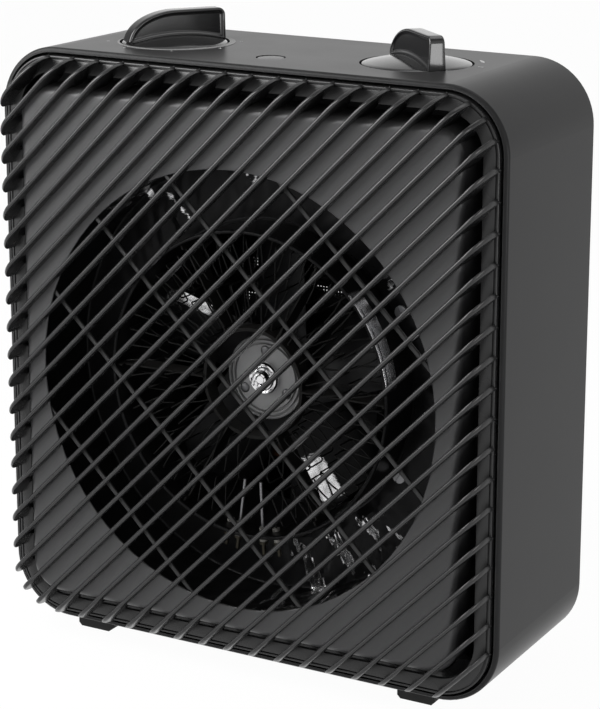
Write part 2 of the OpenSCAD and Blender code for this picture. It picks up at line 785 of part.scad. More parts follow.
outer_polar = coil_route(coil_out_r0, coil_out_r1, outer_start, outer_turns, outer_pitch, bush_r0);
inner_polar = coil_route(coil_in_r0, coil_in_r1, inner_start, inner_turns, inner_pitch, link_r0);
outer_route = [for (p = outer_polar) place(p)];
inner_route = [for (p = inner_polar) place(p)];
echo(outer_coil_least_gap = turn_gap(outer_route));
echo(inner_coil_least_gap = turn_gap(inner_route));

module heating_coil_outer() {
  color([0.62, 0.6, 0.58]) stand() on_axis() wire(outer_route, wire_r);
}

module heating_coil_inner() {
  color([0.62, 0.6, 0.58]) stand() on_axis() wire(inner_route, wire_r);
}

module radial(a, r0) {
  on_axis(coil_mid_q) rotate(a) translate([r0, 0, 0]) rotate([0, 90, 0]) children();
}

module ceramic_bushes() {
  color([0.88, 0.86, 0.8]) stand()
    for (a = bush_angles) radial(a, bush_r0) cylinder(r = bush_r, h = bush_r1 - bush_r0);
}

module coil_terminals() {
  color([0.75, 0.6, 0.3]) stand()
    for (a = bush_angles) {
      radial(a, bush_r1) cylinder(r = bush_r + 0.4, h = 1);
      radial(a, bush_r1 + 0.9) cylinder(r = 0.9, h = 5);
    }
}

module coil_links() {
  color([0.7, 0.7, 0.7]) stand()
    for (k = [2, 3]) radial(bush_angles[k], link_r0) cylinder(r = 0.8, h = bush_r0 - link_r0);
}

module thermal_cutout() {
  color([0.2, 0.2, 0.2]) stand() on_axis(duct_floor_q) rotate(60) translate([ring_r + 19, 0, 0]) {
    cylinder(r = 8, h = 1);
    translate([0, 0, 1 - eps]) cylinder(r = 7, h = 7);
    translate([-1, -5, 8 - 2 * eps]) cube([2, 0.8, 6]);
    translate([-1, 4.2, 8 - 2 * eps]) cube([2, 0.8, 6]);
  }
}

module thermal_fuse() {
  color([0.85, 0.83, 0.76]) stand() on_axis(duct_floor_q + 0.3 + 2)
    rotate(120) translate([ring_r + 18, -7, 0]) rotate([-90, 0, 0]) {
      cylinder(r = 2, h = 14);
      translate([0, 0, -5]) cylinder(r = 0.5, h = 24);
    }
}

// Motor and fan

module motor_frame() {
  color([0.6, 0.6, 0.6]) stand() on_axis(frame_q) difference() {
    union() {
      cylinder(r = frame_hub_r, h = frame_t);
      for (a = arm_angles)
        rotate(a)
          translate([0, -frame_arm_w / 2, 0]) cube([ring_r + ring_t + ring_rear_w, frame_arm_w, frame_t]);
    }
    translate([0, 0, -1]) cylinder(r = frame_bore_r, h = frame_t + 2);
    around(arm_angles, rear_screw_r)
      translate([0, 0, -1]) cylinder(r = screw_r + screw_gap, h = frame_t + 2);
    for (x = [-bolt_x, bolt_x]) translate([x, 0, -1]) cylinder(r = bolt_r + screw_gap, h = frame_t + 2);
  }
}

// Bearing bracket: a strap with two spacers and a boss, strap first
module bearing_bracket(spacer_h, boss_h) {
  difference() {
    union() {
      translate([-bolt_x, -spacer_r - 1, 0]) cube([2 * bolt_x, 2 * spacer_r + 2, bracket_t]);
      for (x = [-bolt_x, bolt_x]) {
        translate([x, 0, 0]) cylinder(r = spacer_r + 1, h = bracket_t);
        translate([x, 0, 0]) cylinder(r = spacer_r, h = spacer_h);
      }
      cylinder(r = boss_r, h = boss_h);
    }
    translate([0, 0, -1]) cylinder(r = bearing_r + run_gap, h = boss_h + 2);
    for (x = [-bolt_x, bolt_x]) translate([x, 0, -1]) cylinder(r = bolt_r + screw_gap, h = spacer_h + 2);
  }
}

module motor_front_bracket() {
  color([0.7, 0.7, 0.72]) stand() on_axis(bracket_q)
    bearing_bracket(stator_q - bracket_q, bearing_len - 1);
}

module motor_rear_bracket() {
  q1 = rear_bracket_q + bracket_t;
  color([0.7, 0.7, 0.72]) stand() on_axis(q1)
    mirror([0, 0, 1]) bearing_bracket(q1 - stator_q - stator_t, bearing_len - 1);
}

module motor_stator() {
  limb = 10;
  window_h = 11;
  window_w = stator_w - 2 * 14;
  color([0.45, 0.45, 0.46]) stand() on_axis(stator_q) difference() {
    translate([-stator_w / 2, -stator_top - 7 - limb, 0])
      cube([stator_w, 2 * stator_top + 7 + limb, stator_t]);
    translate([0, 0, -1]) cylinder(r = rotor_r + air_gap, h = stator_t + 2);
    translate([-window_w / 2, -stator_top - 7, -1]) cube([window_w, window_h, stator_t + 2]);
    for (x = [-bolt_x, bolt_x]) translate([x, 0, -1]) cylinder(r = bolt_r + screw_gap, h = stator_t + 2);
  }
}

module motor_winding() {
  limb = 10;
  build = 7;
  width = stator_w - 2 * 14 - 1;
  inside = 0.3;
  low = -stator_top - 7 - limb;
  color([0.72, 0.42, 0.2]) stand() on_axis(stator_q) difference() {
    translate([-width / 2, low - build - inside, -build - inside])
      cube([width, limb + 2 * (build + inside), stator_t + 2 * (build + inside)]);
    translate([-width, low - inside, -inside])
      cube([2 * width, limb + 2 * inside, stator_t + 2 * inside]);
  }
}

module motor_bolts() {
  length = rear_bracket_q + bracket_t - frame_q + nut_t + 1;
  color([0.7, 0.7, 0.72]) stand() on_axis(rear_bracket_q + bracket_t)
    for (x = [-bolt_x, bolt_x]) translate([x, 0, 0]) screw(length, bolt_r, bolt_r + 1.6, 2.4);
}

module motor_nuts() {
  color([0.7, 0.7, 0.72]) stand() on_axis(frame_q - nut_t)
    for (x = [-bolt_x, bolt_x]) translate([x, 0, 0]) difference() {
      cylinder(r = bolt_r + 2, h = nut_t, $fn = 6);
      translate([0, 0, -1]) cylinder(r = bolt_r + run_gap, h = nut_t + 2);
    }
}

module motor_bearings() {
  color([0.7, 0.55, 0.3]) stand() {
    on_axis(bracket_q - 0.5) ring(bearing_r, shaft_r + run_gap, bearing_len);
    on_axis(rear_bracket_q + bracket_t + 0.5 - bearing_len) ring(bearing_r, shaft_r + run_gap, bearing_len);
  }
}

module fan_blade() {
  length = fan_r;
  rotate([90, 0, 90])
    rotate(blade_pitch)
      linear_extrude(length)
        intersection() {
          translate([0, blade_camber]) difference() {
            circle(blade_camber + blade_t / 2, $fn = 128);
            circle(blade_camber - blade_t / 2, $fn = 128);
          }
          translate([-blade_chord / 2, -blade_t]) square([blade_chord, blade_chord / 3]);
        }
}

module fan_wheel() {
  drum_q0 = hub_q + hub_cap_t;
  mid = (drum_q0 + drum_q) / 2 - 1.4;
  color([0.16, 0.16, 0.17]) stand() difference() {
    union() {
      difference() {
        on_axis(drum_q0) cylinder(r = hub_r, h = drum_q - drum_q0);
        on_axis(drum_q0 + rivet_grip) cylinder(r = hub_r - drum_t, h = drum_q);
      }
      on_axis(drum_q0) cylinder(r = shaft_r + 3.5, h = drum_q - drum_q0);
      difference() {
        intersection() {
          on_axis(mid) for (k = [0:blade_n - 1]) rotate(k * 360 / blade_n + 20) fan_blade();
          on_axis(drum_q0) cylinder(r = fan_r, h = drum_q - drum_q0 + 1, $fn = 128);
        }
        on_axis(drum_q0 - 1) cylinder(r = hub_r - drum_t / 2, h = drum_q);
      }
    }
    on_axis(drum_q0 - 1) cylinder(r = shaft_r + run_gap, h = drum_q);
    on_axis(drum_q0 - 1) around(rivet_angles, rivet_pcd_r)
      cylinder(r = rivet_shank_r + run_gap, h = rivet_grip + 2);
  }
}

module fan_hub_cap() {
  color([0.3, 0.3, 0.31]) stand() on_axis(hub_q) difference() {
    cylinder(r = hub_r, h = hub_cap_t);
    translate([0, 0, -1]) cylinder(r = shaft_r + run_gap, h = hub_cap_t + 2);
    for (r = [hub_r - 1.6, hub_r - 3.2]) translate([0, 0, -eps]) ring(r, r - 0.5, 0.5);
    around(rivet_angles, rivet_pcd_r)
      translate([0, 0, -1]) cylinder(r = rivet_shank_r + run_gap, h = hub_cap_t + 2);
  }
}

module fan_hub_rivets() {
  shank = hub_cap_t + rivet_grip;
  color([0.8, 0.8, 0.82]) stand() {
    on_axis(hub_q - rivet_t) around(rivet_angles, rivet_pcd_r) cylinder(r = rivet_r, h = rivet_t);
    on_axis(hub_q - eps) around(rivet_angles, rivet_pcd_r) cylinder(r = rivet_shank_r, h = shank + 2 * eps);
    on_axis(hub_q + shank) around(rivet_angles, rivet_pcd_r) cylinder(r = rivet_r, h = rivet_back_t);
  }
}

module fan_hub_nut() {
  color([0.85, 0.85, 0.87]) stand() difference() {
    union() {
      on_axis(hub_q - hub_nut_t) cylinder(r = 7, h = hub_nut_t);
      on_axis(hub_q - hub_nut_t - hub_tip_t) cylinder(r1 = 2.9, r2 = 3.7, h = hub_tip_t + eps);
    }
    on_axis(hub_q - hub_nut_t) cylinder(r = shaft_r + run_gap, h = hub_nut_t + 1);
  }
}

module motor_shaft() {
  q0 = hub_q - hub_nut_t + 0.3;
  color([0.75, 0.75, 0.77]) stand() on_axis(q0) cylinder(r = shaft_r, h = shaft_q1 - q0);
}

module motor_rotor() {
  color([0.5, 0.5, 0.52]) stand() on_axis(stator_q + 0.5) difference() {
    union() {
      cylinder(r = rotor_r, h = stator_t - 1);
    }
    translate([0, 0, -1]) cylinder(r = shaft_r + run_gap, h = stator_t + 2);
    translate([0, 0, -1]) ring(rotor_r - 3, rotor_r - 6, 3);
  }
}

// Knobs and controls

// Side outline of the grip: upright at the tall end, a quarter ellipse at the low end
function grip_outline(inset, foot) = let (
    top = fin_h - inset,
    half = fin_half - inset,
    corner = max(3 - inset, 0.5)
  ) concat(
    [[half, -foot]],
    [for (a = [0:15:90]) [half - corner + corner * cos(a), top - corner + corner * sin(a)]],
    [for (a = [90:7.5:180]) [half * cos(a), top * sin(a)]],
    [[-half, -foot]]
  );

module knob(angle) {
  bore_top = 1.4;
  difference() {
    union() {
      intersection() {
        translate([0, 0, knob_gap - well_d]) cylinder(r = knob_r, h = well_d + dome_h);
        translate([0, 0, dome_h - dome_r]) sphere(r = dome_r, $fn = 128);
      }
      rotate(angle) intersection() {
        difference() {
          translate([0, fin_t / 2, 0]) rotate([90, 0, 0]) linear_extrude(fin_t) polygon(grip_outline(0, 1));
          for (s = [0, 1])
            mirror([0, s, 0])
              translate([0, fin_t / 2 + 1, 0])
                rotate([90, 0, 0])
                  linear_extrude(1 + fin_dish) intersection() {
                    polygon(grip_outline(fin_rim, 1));
                    translate([-knob_r, 0]) square([2 * knob_r, fin_h]);
                  }
        }
        translate([0, 0, -2]) cylinder(r = knob_r - 0.05, h = fin_h + 3);
      }
    }
    // Hollow underside over the nut
    translate([0, 0, -well_d - 1]) cylinder(r = 9, h = 1 + bush_top - well_z + 0.4);
    translate([0, 0, -well_d - 1]) cylinder(r = control_r + run_gap, h = well_d + 1 + bore_top);
  }
}

module control_shaft() {
  cylinder(r = control_r, h = top_z + 1 - switch_z - switch_h / 2);
}

module mode_knob() {
  color([0.3, 0.3, 0.31]) stand() translate([-knob_x, knob_q, top_z]) knob(mode_angle);
}

module thermostat_knob() {
  color([0.3, 0.3, 0.31]) stand() translate([knob_x, knob_q, top_z]) knob(thermo_angle);
}

module mode_shaft() {
  color([0.85, 0.83, 0.78]) stand() translate([-knob_x, knob_q, switch_z + switch_h / 2]) control_shaft();
}

module thermostat_shaft() {
  color([0.75, 0.62, 0.35]) stand() translate([knob_x, knob_q, switch_z + switch_h / 2]) control_shaft();
}

// Rotary control: a square body with a threaded bushing that passes the floor of the well
module control_body() {
  difference() {
    union() {
      translate([-switch_w / 2, -switch_w / 2, switch_z]) cube([switch_w, switch_w, switch_h]);
      translate([0, 0, switch_z + switch_h - 1])
        cylinder(r = control_bush_r, h = bush_top - switch_z - switch_h + 1);
    }
    translate([0, 0, switch_z + switch_h / 2 - 0.3]) cylinder(r = control_r + run_gap, h = top_z);
  }
}

module mode_switch() {
  color([0.12, 0.12, 0.12]) stand() translate([-knob_x, knob_q, 0]) control_body();
}

module thermostat_body() {
  color([0.86, 0.84, 0.78]) stand() translate([knob_x, knob_q, 0]) control_body();
}

module thermostat_blade() {
  color([0.8, 0.68, 0.4]) stand() translate([knob_x - 4, knob_q - switch_w / 2 + 2, switch_z - 6]) {
    cube([8, 5, 6]);
    cube([8, switch_w + 8, 0.8]);
  }
}

module shaft_nuts() {
  color([0.75, 0.75, 0.77]) stand() for (s = [-1, 1])
    translate([s * knob_x, knob_q, well_z]) difference() {
      cylinder(r = control_bush_r + 2.6, h = control_nut_t, $fn = 6);
      translate([0, 0, -1]) cylinder(r = control_bush_r + run_gap, h = control_nut_t + 2);
    }
}

module switch_terminals() {
  color([0.8, 0.66, 0.35]) stand() translate([-knob_x, knob_q, switch_z - 8])
    for (x = [-10, 0, 10], y = [-9, 9]) translate([x - 2.4, y - 0.4, 0]) cube([4.8, 0.8, 8]);
}

module lamp_lens() {
  color([0.35, 0.35, 0.36]) stand() translate([0, lens_q, 0]) {
    translate([0, 0, housing_h - wall - lens_flange_t]) cylinder(r = lens_r + 2, h = lens_flange_t);
    translate([0, 0, housing_h - wall - eps]) cylinder(r = lens_r, h = wall - 0.15);
  }
}

module lamp_holder() {
  tab_w = 1.5;
  tab_t = 0.8;
  color([0.8, 0.8, 0.78]) stand() translate([0, lens_q, housing_h - wall - lens_flange_t - lamp_h]) {
    cylinder(r = lens_r - 1, h = lamp_h);
    for (x = [-1, 1])
      translate([x * 1.75 - tab_w / 2, -tab_t / 2, -lamp_tab]) cube([tab_w, tab_t, lamp_tab + eps]);
  }
}

module dial_ring() {
  color([0.75, 0.75, 0.75]) stand() translate([-knob_x, knob_q, top_z]) linear_extrude(0.12) difference() {
    translate([1.1, -0.3]) circle(well_r + 1.7, $fn = 128);
    circle(well_r + 0.05, $fn = 128);
  }
}

// Rear cover

module bulge_block(grow, q0, q1) {
  r = bulge_r + grow;
  e = bulge_round + grow;
  w = bulge_w + 2 * grow;
  h = bulge_h + 2 * grow;
  border = [for (a = [0:15:90]) [r - e + e * cos(a), q1 - e + e * sin(a)]];
  loop_sweep(w, h, r) polygon(concat([[0, q1], [0, q0], [r, q0]], border));
  loop_core(w, h, r, q0, q1);
}

module rear_cover() {
  pocket_q = rear_q - handle_d;
  pocket_top = handle_z + handle_h + finger_h;
  color([0.22, 0.22, 0.23]) stand() difference() {
    union() {
      difference() {
        union() {
          on_middle(cover_q) linear_extrude(cover_t) round_rect(cover_w, cover_h, bulkhead_r);
          on_middle() bulge_block(0, cover_q + 1, rear_q);
        }
        on_middle() bulge_block(-bulge_t, cover_q - 1, rear_q - bulge_t);
      }
      // Box of the carrying recess
      translate([-handle_w / 2 - pocket_t, pocket_q - pocket_t, handle_z - pocket_t])
        cube([handle_w + 2 * pocket_t, handle_d + pocket_t - bulge_t / 2,
          pocket_top - handle_z + 2 * pocket_t]);
      // Pad of the cord inlet
      translate([gland_x, 0, gland_z]) face_on(rear_q - 7) cylinder(r = 12, h = 6);
    }
    // Carrying recess and the finger space above its mouth
    translate([-handle_w / 2, pocket_q, handle_z]) cube([handle_w, handle_d + 1, handle_h]);
    translate([-handle_w / 2, pocket_q, handle_z])
      cube([handle_w, handle_d - finger_bar, handle_h + finger_h]);
    // Air slots
    intersection() {
      on_axis(rear_q - 4) cylinder(r = slots_r, h = 6, $fn = 128);
      union() {
        for (k = [-floor(slots_r / slot_pitch):floor(slots_r / slot_pitch)])
          translate([-slots_r, rear_q - 4, fan_z + k * slot_pitch - slot_w / 2])
            cube([slots_r - 3, 6, slot_w]);
        for (k = [-floor(slots_r / slot_pitch):floor(slots_r / slot_pitch)])
          translate([3, rear_q - 4, fan_z + k * slot_pitch - slot_w / 2])
            cube([slots_r - 3, 6, slot_w]);
      }
    }
    translate([gland_x, 0, gland_z]) face_on(rear_q - 8) cylinder(r = cord_r + 2.2 + run_gap, h = 10);
    translate([gland_x, 0, gland_z]) face_on(rear_q - 2) cylinder(r = cord_r + 5.2 + 0.2, h = 3);
    for (x = [-boss_x, boss_x], z = [boss_z, housing_h - boss_z])
      translate([x, 0, z]) face_on(cover_q - 1) cylinder(r = cover_screw_r + screw_gap, h = cover_t + 2);
  }
}

module long_screws() {
  color([0.75, 0.75, 0.77]) stand() for (x = [-side_x, side_x], z = side_z)
    translate([x, 0, z]) face_on(bulkhead_back) screw(bulkhead_back - 3);
}

module sheet_screws() {
  color([0.75, 0.75, 0.77]) stand() {
    on_middle(bulkhead_back) corners(baffle_x, baffle_z) screw(5);
    on_axis(bulkhead_back + duct_t) around(duct_angles, duct_screw_r) screw(5);
    on_axis(duct_floor_q - duct_t) around(ring_angles, ring_screw_r) mirror([0, 0, 1]) screw(5);
    on_axis(frame_q + frame_t) around(arm_angles, rear_screw_r) screw(5);
  }
}

module cover_screws() {
  color([0.7, 0.7, 0.72]) stand() for (x = [-boss_x, boss_x], z = [boss_z, housing_h - boss_z])
    translate([x, 0, z]) face_on(cover_q + cover_t) screw(12, cover_screw_r, cover_screw_r + 1.6, 2.2);
}

// Feet, inlet, wiring block, tip switch

module feet() {
  color([0.1, 0.1, 0.1]) stand() for (x = [-foot_x, foot_x], q = foot_rows)
    translate([x, q + foot_l / 2, 0]) {
      difference() {
        translate([-foot_w / 2, -foot_l / 2, -foot_h]) cube([foot_w, foot_l, foot_h]);
        for (s = [-1, 1])
          translate([s * foot_w / 2, 0, -foot_h])
            rotate([0, 45, 0]) cube([2, foot_l + 2, 2], center = true);
      }
      translate([0, 0, -eps]) cylinder(r = foot_plug_r, h = wall + eps);
    }
}

module cord_gland() {
  color([0.1, 0.1, 0.1]) stand() translate([gland_x, 0, gland_z]) difference() {
    union() {
      face_on(rear_q - 2) cylinder(r = cord_r + 5.2, h = 1.8);
      face_on(rear_q - 12) cylinder(r = cord_r + 2.2, h = 10 + eps);
    }
    face_on(rear_q - 13) cylinder(r = cord_r, h = 15);
  }
}

module gland_nut() {
  color([0.12, 0.12, 0.12]) stand() translate([gland_x, 0, gland_z]) face_on(rear_q - 7 - 4) difference() {
    cylinder(r = cord_r + 6, h = 4, $fn = 6);
    translate([0, 0, -1]) cylinder(r = cord_r + 2.2 + run_gap, h = 6);
  }
}

// Places of the wiring block's six screws
module block_places() {
  for (k = [0.5:2.5], y = [block_row, block_l - block_row])
    translate([block_pitch * k, y, block_floor]) children();
}

module terminal_block() {
  color([0.85, 0.85, 0.82]) stand() translate([block_x, block_q, wall]) difference() {
    cube([block_w, block_l, block_h]);
    block_places() cylinder(r = block_bore_r, h = block_h);
  }
}

module terminal_screws() {
  color([0.8, 0.66, 0.35]) stand() translate([block_x, block_q, wall])
    block_places() cylinder(r = block_bore_r - screw_gap, h = block_floor);
}

module tip_switch() {
  color([0.1, 0.1, 0.1]) stand() translate([plunger_x, plunger_q, 0]) {
    difference() {
      translate([-tip_w / 2, -tip_l / 2, tip_body_z]) cube([tip_w, tip_l, tip_h]);
      translate([0, 0, tip_body_z - 1]) cylinder(r = stem_r + run_gap, h = 6);
    }
    for (x = [-tip_w / 2, tip_w / 2 - tip_leg_w])
      translate([x, -tip_l / 2, wall]) cube([tip_leg_w, tip_l, tip_body_z - wall + eps]);
  }
}

module tip_plunger() {
  color([0.8, 0.2, 0.15]) stand() translate([plunger_x, plunger_q, 0]) {
    translate([0, 0, plunger_lift - foot_h])
      cylinder(r = plunger_r, h = collar_z + foot_h - plunger_lift + eps);
    translate([0, 0, collar_z]) cylinder(r = collar_r, h = collar_t);
    translate([0, 0, collar_z + collar_t - eps]) cylinder(r = stem_r, h = stem_top - collar_z - collar_t);
  }
}

module tip_spring() {
  color([0.7, 0.7, 0.72]) stand() translate([plunger_x, plunger_q, collar_z + collar_t])
    ring(stem_r + 1.8, stem_r + 0.8, spring_h);
}

housing_shell();
front_grille();
baffle_plate();
guard_bars();
bulkhead_plate();
reflector_pan();
heater_ring();
mica_star();
heating_coil_outer();
heating_coil_inner();
ceramic_bushes();
coil_terminals();
coil_links();
thermal_cutout();
thermal_fuse();
motor_frame();
motor_front_bracket();
motor_rear_bracket();
motor_stator();
motor_winding();
motor_bolts();
motor_nuts();
motor_bearings();
fan_wheel();
fan_hub_cap();
fan_hub_rivets();
fan_hub_nut();
motor_shaft();
motor_rotor();
mode_knob();
mode_shaft();
mode_switch();
thermostat_knob();
thermostat_shaft();
thermostat_body();
thermostat_blade();
shaft_nuts();
switch_terminals();
lamp_lens();
lamp_holder();
rear_cover();
long_screws();
sheet_screws();
cover_screws();
feet();
cord_gland();
gland_nut();
terminal_block();
terminal_screws();
tip_switch();
tip_plunger();
tip_spring();
dial_ring();
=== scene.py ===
# %% [markdown]
# # A compact fan heater
#
# The heater is a moulded case with round corners. A grille of slanted ribs
# covers its front, and behind the ribs stand a pressed metal baffle with a round
# opening, a wound heating element and a fan. Two knobs and a lamp are on top.
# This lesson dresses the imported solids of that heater. Exact solids stay where
# their shape is right, and a surface worked out with numpy takes the place of
# those whose real shape is rounder, thinner or rougher.

import bpy
import numpy as np
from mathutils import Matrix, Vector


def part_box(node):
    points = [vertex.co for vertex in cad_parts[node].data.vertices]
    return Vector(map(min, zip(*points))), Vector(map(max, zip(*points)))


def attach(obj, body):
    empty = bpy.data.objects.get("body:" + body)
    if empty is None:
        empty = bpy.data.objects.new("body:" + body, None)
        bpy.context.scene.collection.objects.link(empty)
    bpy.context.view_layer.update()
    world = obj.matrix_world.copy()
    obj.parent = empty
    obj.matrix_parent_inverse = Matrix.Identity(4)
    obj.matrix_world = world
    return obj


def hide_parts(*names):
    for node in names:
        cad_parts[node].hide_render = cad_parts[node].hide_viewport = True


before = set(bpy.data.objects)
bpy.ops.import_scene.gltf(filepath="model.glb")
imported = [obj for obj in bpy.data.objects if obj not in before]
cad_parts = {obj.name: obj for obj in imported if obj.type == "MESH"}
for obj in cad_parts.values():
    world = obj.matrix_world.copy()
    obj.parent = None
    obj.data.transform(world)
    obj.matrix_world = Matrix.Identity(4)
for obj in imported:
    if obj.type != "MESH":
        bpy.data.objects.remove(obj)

bpy.context.view_layer.update()

# %% [markdown]
# ## Places on the heater
#
# A maker measures this heater from two planes: depth runs back from the front
# lip of the case, and height runs up from the underside of the case. Both planes
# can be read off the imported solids, so the drawing below stays tied to them.

# %% From the maker's millimetres to the frame's metres
millimetre = 0.001
lip_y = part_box("housing_shell")[0].y * 1000
under_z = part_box("housing_shell")[0].z * 1000
case_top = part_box("housing_shell")[1].z * 1000 - under_z
half_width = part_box("housing_shell")[1].x * 1000
middle_height = case_top / 2
fan_height = 117.2
print("lip at y", round(lip_y, 2), "mm, case", 2 * half_width, "x", case_top, "mm")


def place(x, depth, height):
    """A drawing place in millimetres as metres in the frame: the depth is added
    to the lip's plane and the height to the underside's plane."""
    x, depth, height = np.broadcast_arrays(x, depth, height)
    return np.stack([x, lip_y + depth, under_z + height], axis=-1) * millimetre


# %% [markdown]
# ## Camera
#
# The photograph was taken from the right of the heater and a little above it,
# with a long lens. The place, the direction and the focal length come from
# fitting the edges of the case, which is surer than turning a camera by eye. A
# small shift frames the heater as in the photograph.

# %% Set up the camera
from mathutils import Matrix

camera_data = bpy.data.cameras.new("studio_camera")
camera_data.sensor_width = 36
camera_data.lens = 115.253
camera_data.shift_x = -0.1407
camera_data.shift_y = -0.1291
camera_data.clip_start = 0.05
camera_data.clip_end = 50
camera = bpy.data.objects.new("studio_camera", camera_data)
bpy.context.scene.collection.objects.link(camera)
camera_right = (0.887767, 0.460175, 0.010438)
camera_up = (-0.118612, 0.206797, 0.971167)
camera_ahead = (-0.444749, 0.863408, -0.23817)
camera_place = (0.461559, -0.804174, 0.392517)
turn = Matrix([camera_right, camera_up, [-v for v in camera_ahead]]).transposed()
camera.matrix_world = Matrix.Translation(camera_place) @ turn.to_4x4()
bpy.context.scene.camera = camera
bpy.context.scene.view_settings.view_transform = "Standard"
print("camera at", camera_place, "lens", camera_data.lens, "mm")

# %% [markdown]
# ## Surfaces
#
# Every new piece below is one of a few kinds of surface: a grid of points, a
# profile turned round an axis, a profile carried round the heater's rounded
# rectangle, or a tube along a route. Each is computed as whole arrays. The
# alternative, a modifier stack on a cube or cylinder, would give less control
# over where the small edge radii and step lines fall. A surface is kept as its
# points, its four-cornered faces and the flat faces that close its ends.

# %% Grids of points


def grid(points, close_rows=False, close_columns=False):
    """A surface from points in rows and columns: each cell of four neighbours
    becomes one quad, and a closed direction joins its end to its start."""
    rows, columns = points.shape[:2]
    r = np.arange(rows if close_rows else rows - 1)
    c = np.arange(columns if close_columns else columns - 1)
    r, c = np.meshgrid(r, c, indexing="ij")
    r1, c1 = (r + 1) % rows, (c + 1) % columns
    quads = np.stack([r * columns + c, r * columns + c1, r1 * columns + c1, r1 * columns + c], -1)
    return points.reshape(-1, 3), quads.reshape(-1, 4), []


def rod(points):
    """A grid whose columns close round it, with a flat face on its first row and
    one on its last."""
    flat_points, quads, _ = grid(points, close_columns=True)
    around = np.arange(points.shape[1])
    return flat_points, quads, [around[::-1], around + len(flat_points) - len(around)]


# %% One mesh object from several surfaces
import bmesh

same_place = 2e-6
no_length = 1e-7


def make_piece(name, surfaces, body, slot, corner, finish=None, bare=None):
    """Joins surfaces into one object: points that coincide are merged, faces are
    turned outwards, and edges sharper than the corner angle stay sharp. It has
    its slot's finish unless another is named, and bare is a share per point."""
    starts = np.cumsum([0] + [len(s[0]) for s in surfaces])
    faces = []
    for start, (_, quads, ends) in zip(starts, surfaces):
        faces += (quads + start).tolist() + [(end + start).tolist() for end in ends]
    mesh = bpy.data.meshes.new(name)
    mesh.from_pydata(np.concatenate([s[0] for s in surfaces]).tolist(), [], faces)
    if bare is not None:
        mesh.attributes.new("bare", "FLOAT", "POINT").data.foreach_set("value", bare.ravel())
    shape = bmesh.new()
    shape.from_mesh(mesh)
    bmesh.ops.remove_doubles(shape, verts=shape.verts, dist=same_place)
    bmesh.ops.dissolve_degenerate(shape, edges=shape.edges, dist=no_length)
    bmesh.ops.recalc_face_normals(shape, faces=shape.faces)
    shape.to_mesh(mesh)
    shape.free()
    mesh.shade_smooth()
    mesh.set_sharp_from_angle(angle=np.radians(corner))
    mesh.materials.append(finishes[finish or slot])
    piece = bpy.data.objects.new(name, mesh)
    bpy.context.scene.collection.objects.link(piece)
    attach(piece, body)
    print(name, len(mesh.polygons), "faces")
    return piece


# %% A profile turned round an axis


def turned(profile, steps=96, axis="depth", x=0.0, depth=0.0, height=fan_height, closed=False):
    """A profile of (radius, distance along the axis) turned once round an axis
    that runs along the depth or straight up through the given place."""
    profile = np.asarray(profile, float)
    angle = np.linspace(0, 2 * np.pi, steps, endpoint=False)
    radius, along = profile[:, :1], profile[:, 1:]
    side, up = radius * np.cos(angle), radius * np.sin(angle)
    along = np.broadcast_to(along, side.shape)
    if axis == "depth":
        points = place(x + side, depth + along, height + up)
    else:
        points = place(x + side, depth + up, height + along)
    return grid(points, close_rows=closed, close_columns=True)


def arc(x0, y0, radius, start, end, steps):
    """Points of an arc: centre plus radius times (cosine, sine) of the angle."""
    a = np.radians(np.linspace(start, end, steps))
    return np.stack([x0 + radius * np.cos(a), y0 + radius * np.sin(a)], -1).tolist()


def rotated(x, y, angle):
    """Places (x, y) turned about the origin by an angle in radians."""
    return x * np.cos(angle) - y * np.sin(angle), x * np.sin(angle) + y * np.cos(angle)


# %% The rounded rectangle of the case


def corner_rays(half_w, half_h, radius, per_corner, per_side=1):
    """Centres and outward directions round a rounded rectangle. A contour at
    any inset is the centre plus (radius less inset) times the direction."""
    centres, rays = [], []
    signs = np.array([[1, 1], [-1, 1], [-1, -1], [1, -1]])
    middles = signs * [half_w - radius, half_h - radius]
    for k in range(4):
        a = np.radians(np.linspace(90 * k, 90 * k + 90, per_corner))
        rays.append(np.stack([np.cos(a), np.sin(a)], -1))
        centres.append(np.repeat(middles[k : k + 1], per_corner, axis=0))
        t = np.linspace(0, 1, per_side + 1)[1:-1, None]
        centres.append(middles[k] * (1 - t) + middles[(k + 1) % 4] * t)
        rays.append(np.repeat(rays[-1][-1:], len(t), axis=0))
    return np.concatenate(centres), np.concatenate(rays)


def inset_of(x, z, half_w, half_h, radius):
    """How far a point lies inside a rounded rectangle: the radius less the
    distance from the nearest point of the inner rectangle of corner centres."""
    dx = np.abs(x) - (half_w - radius)
    dz = np.abs(z) - (half_h - radius)
    outside = np.hypot(np.maximum(dx, 0), np.maximum(dz, 0))
    return radius - outside - np.minimum(np.maximum(dx, dz), 0)


# %% A tube along a route


def tube(route, radius, side_hint, sides=8):
    """A tube of round section: at each point of the route the section's circle
    spans the hint direction, made square to the route, and their cross product."""
    ahead = np.gradient(route, axis=0)
    ahead /= np.linalg.norm(ahead, axis=1, keepdims=True)
    side = side_hint - (side_hint * ahead).sum(1, keepdims=True) * ahead
    side /= np.linalg.norm(side, axis=1, keepdims=True)
    over = np.cross(ahead, side)
    a = np.linspace(0, 2 * np.pi, sides, endpoint=False)[None, :, None]
    points = route[:, None] + radius * (side[:, None] * np.cos(a) + over[:, None] * np.sin(a))
    return rod(place(points[..., 0], points[..., 1], points[..., 2]))


# %% [markdown]
# ## Effects that several finishes share
#
# Moulded plastic, painted sheet and bare metal all show fine grain, slow drift
# of tone, a little settled dust and brighter corners. Each could be drawn again
# in every material, but then a change would be made thirty times. Here each
# effect is one shader node group with named sockets. The groups give out only
# values and colours, and the shader that uses them stays in each material.

# %% Nodes and their sockets


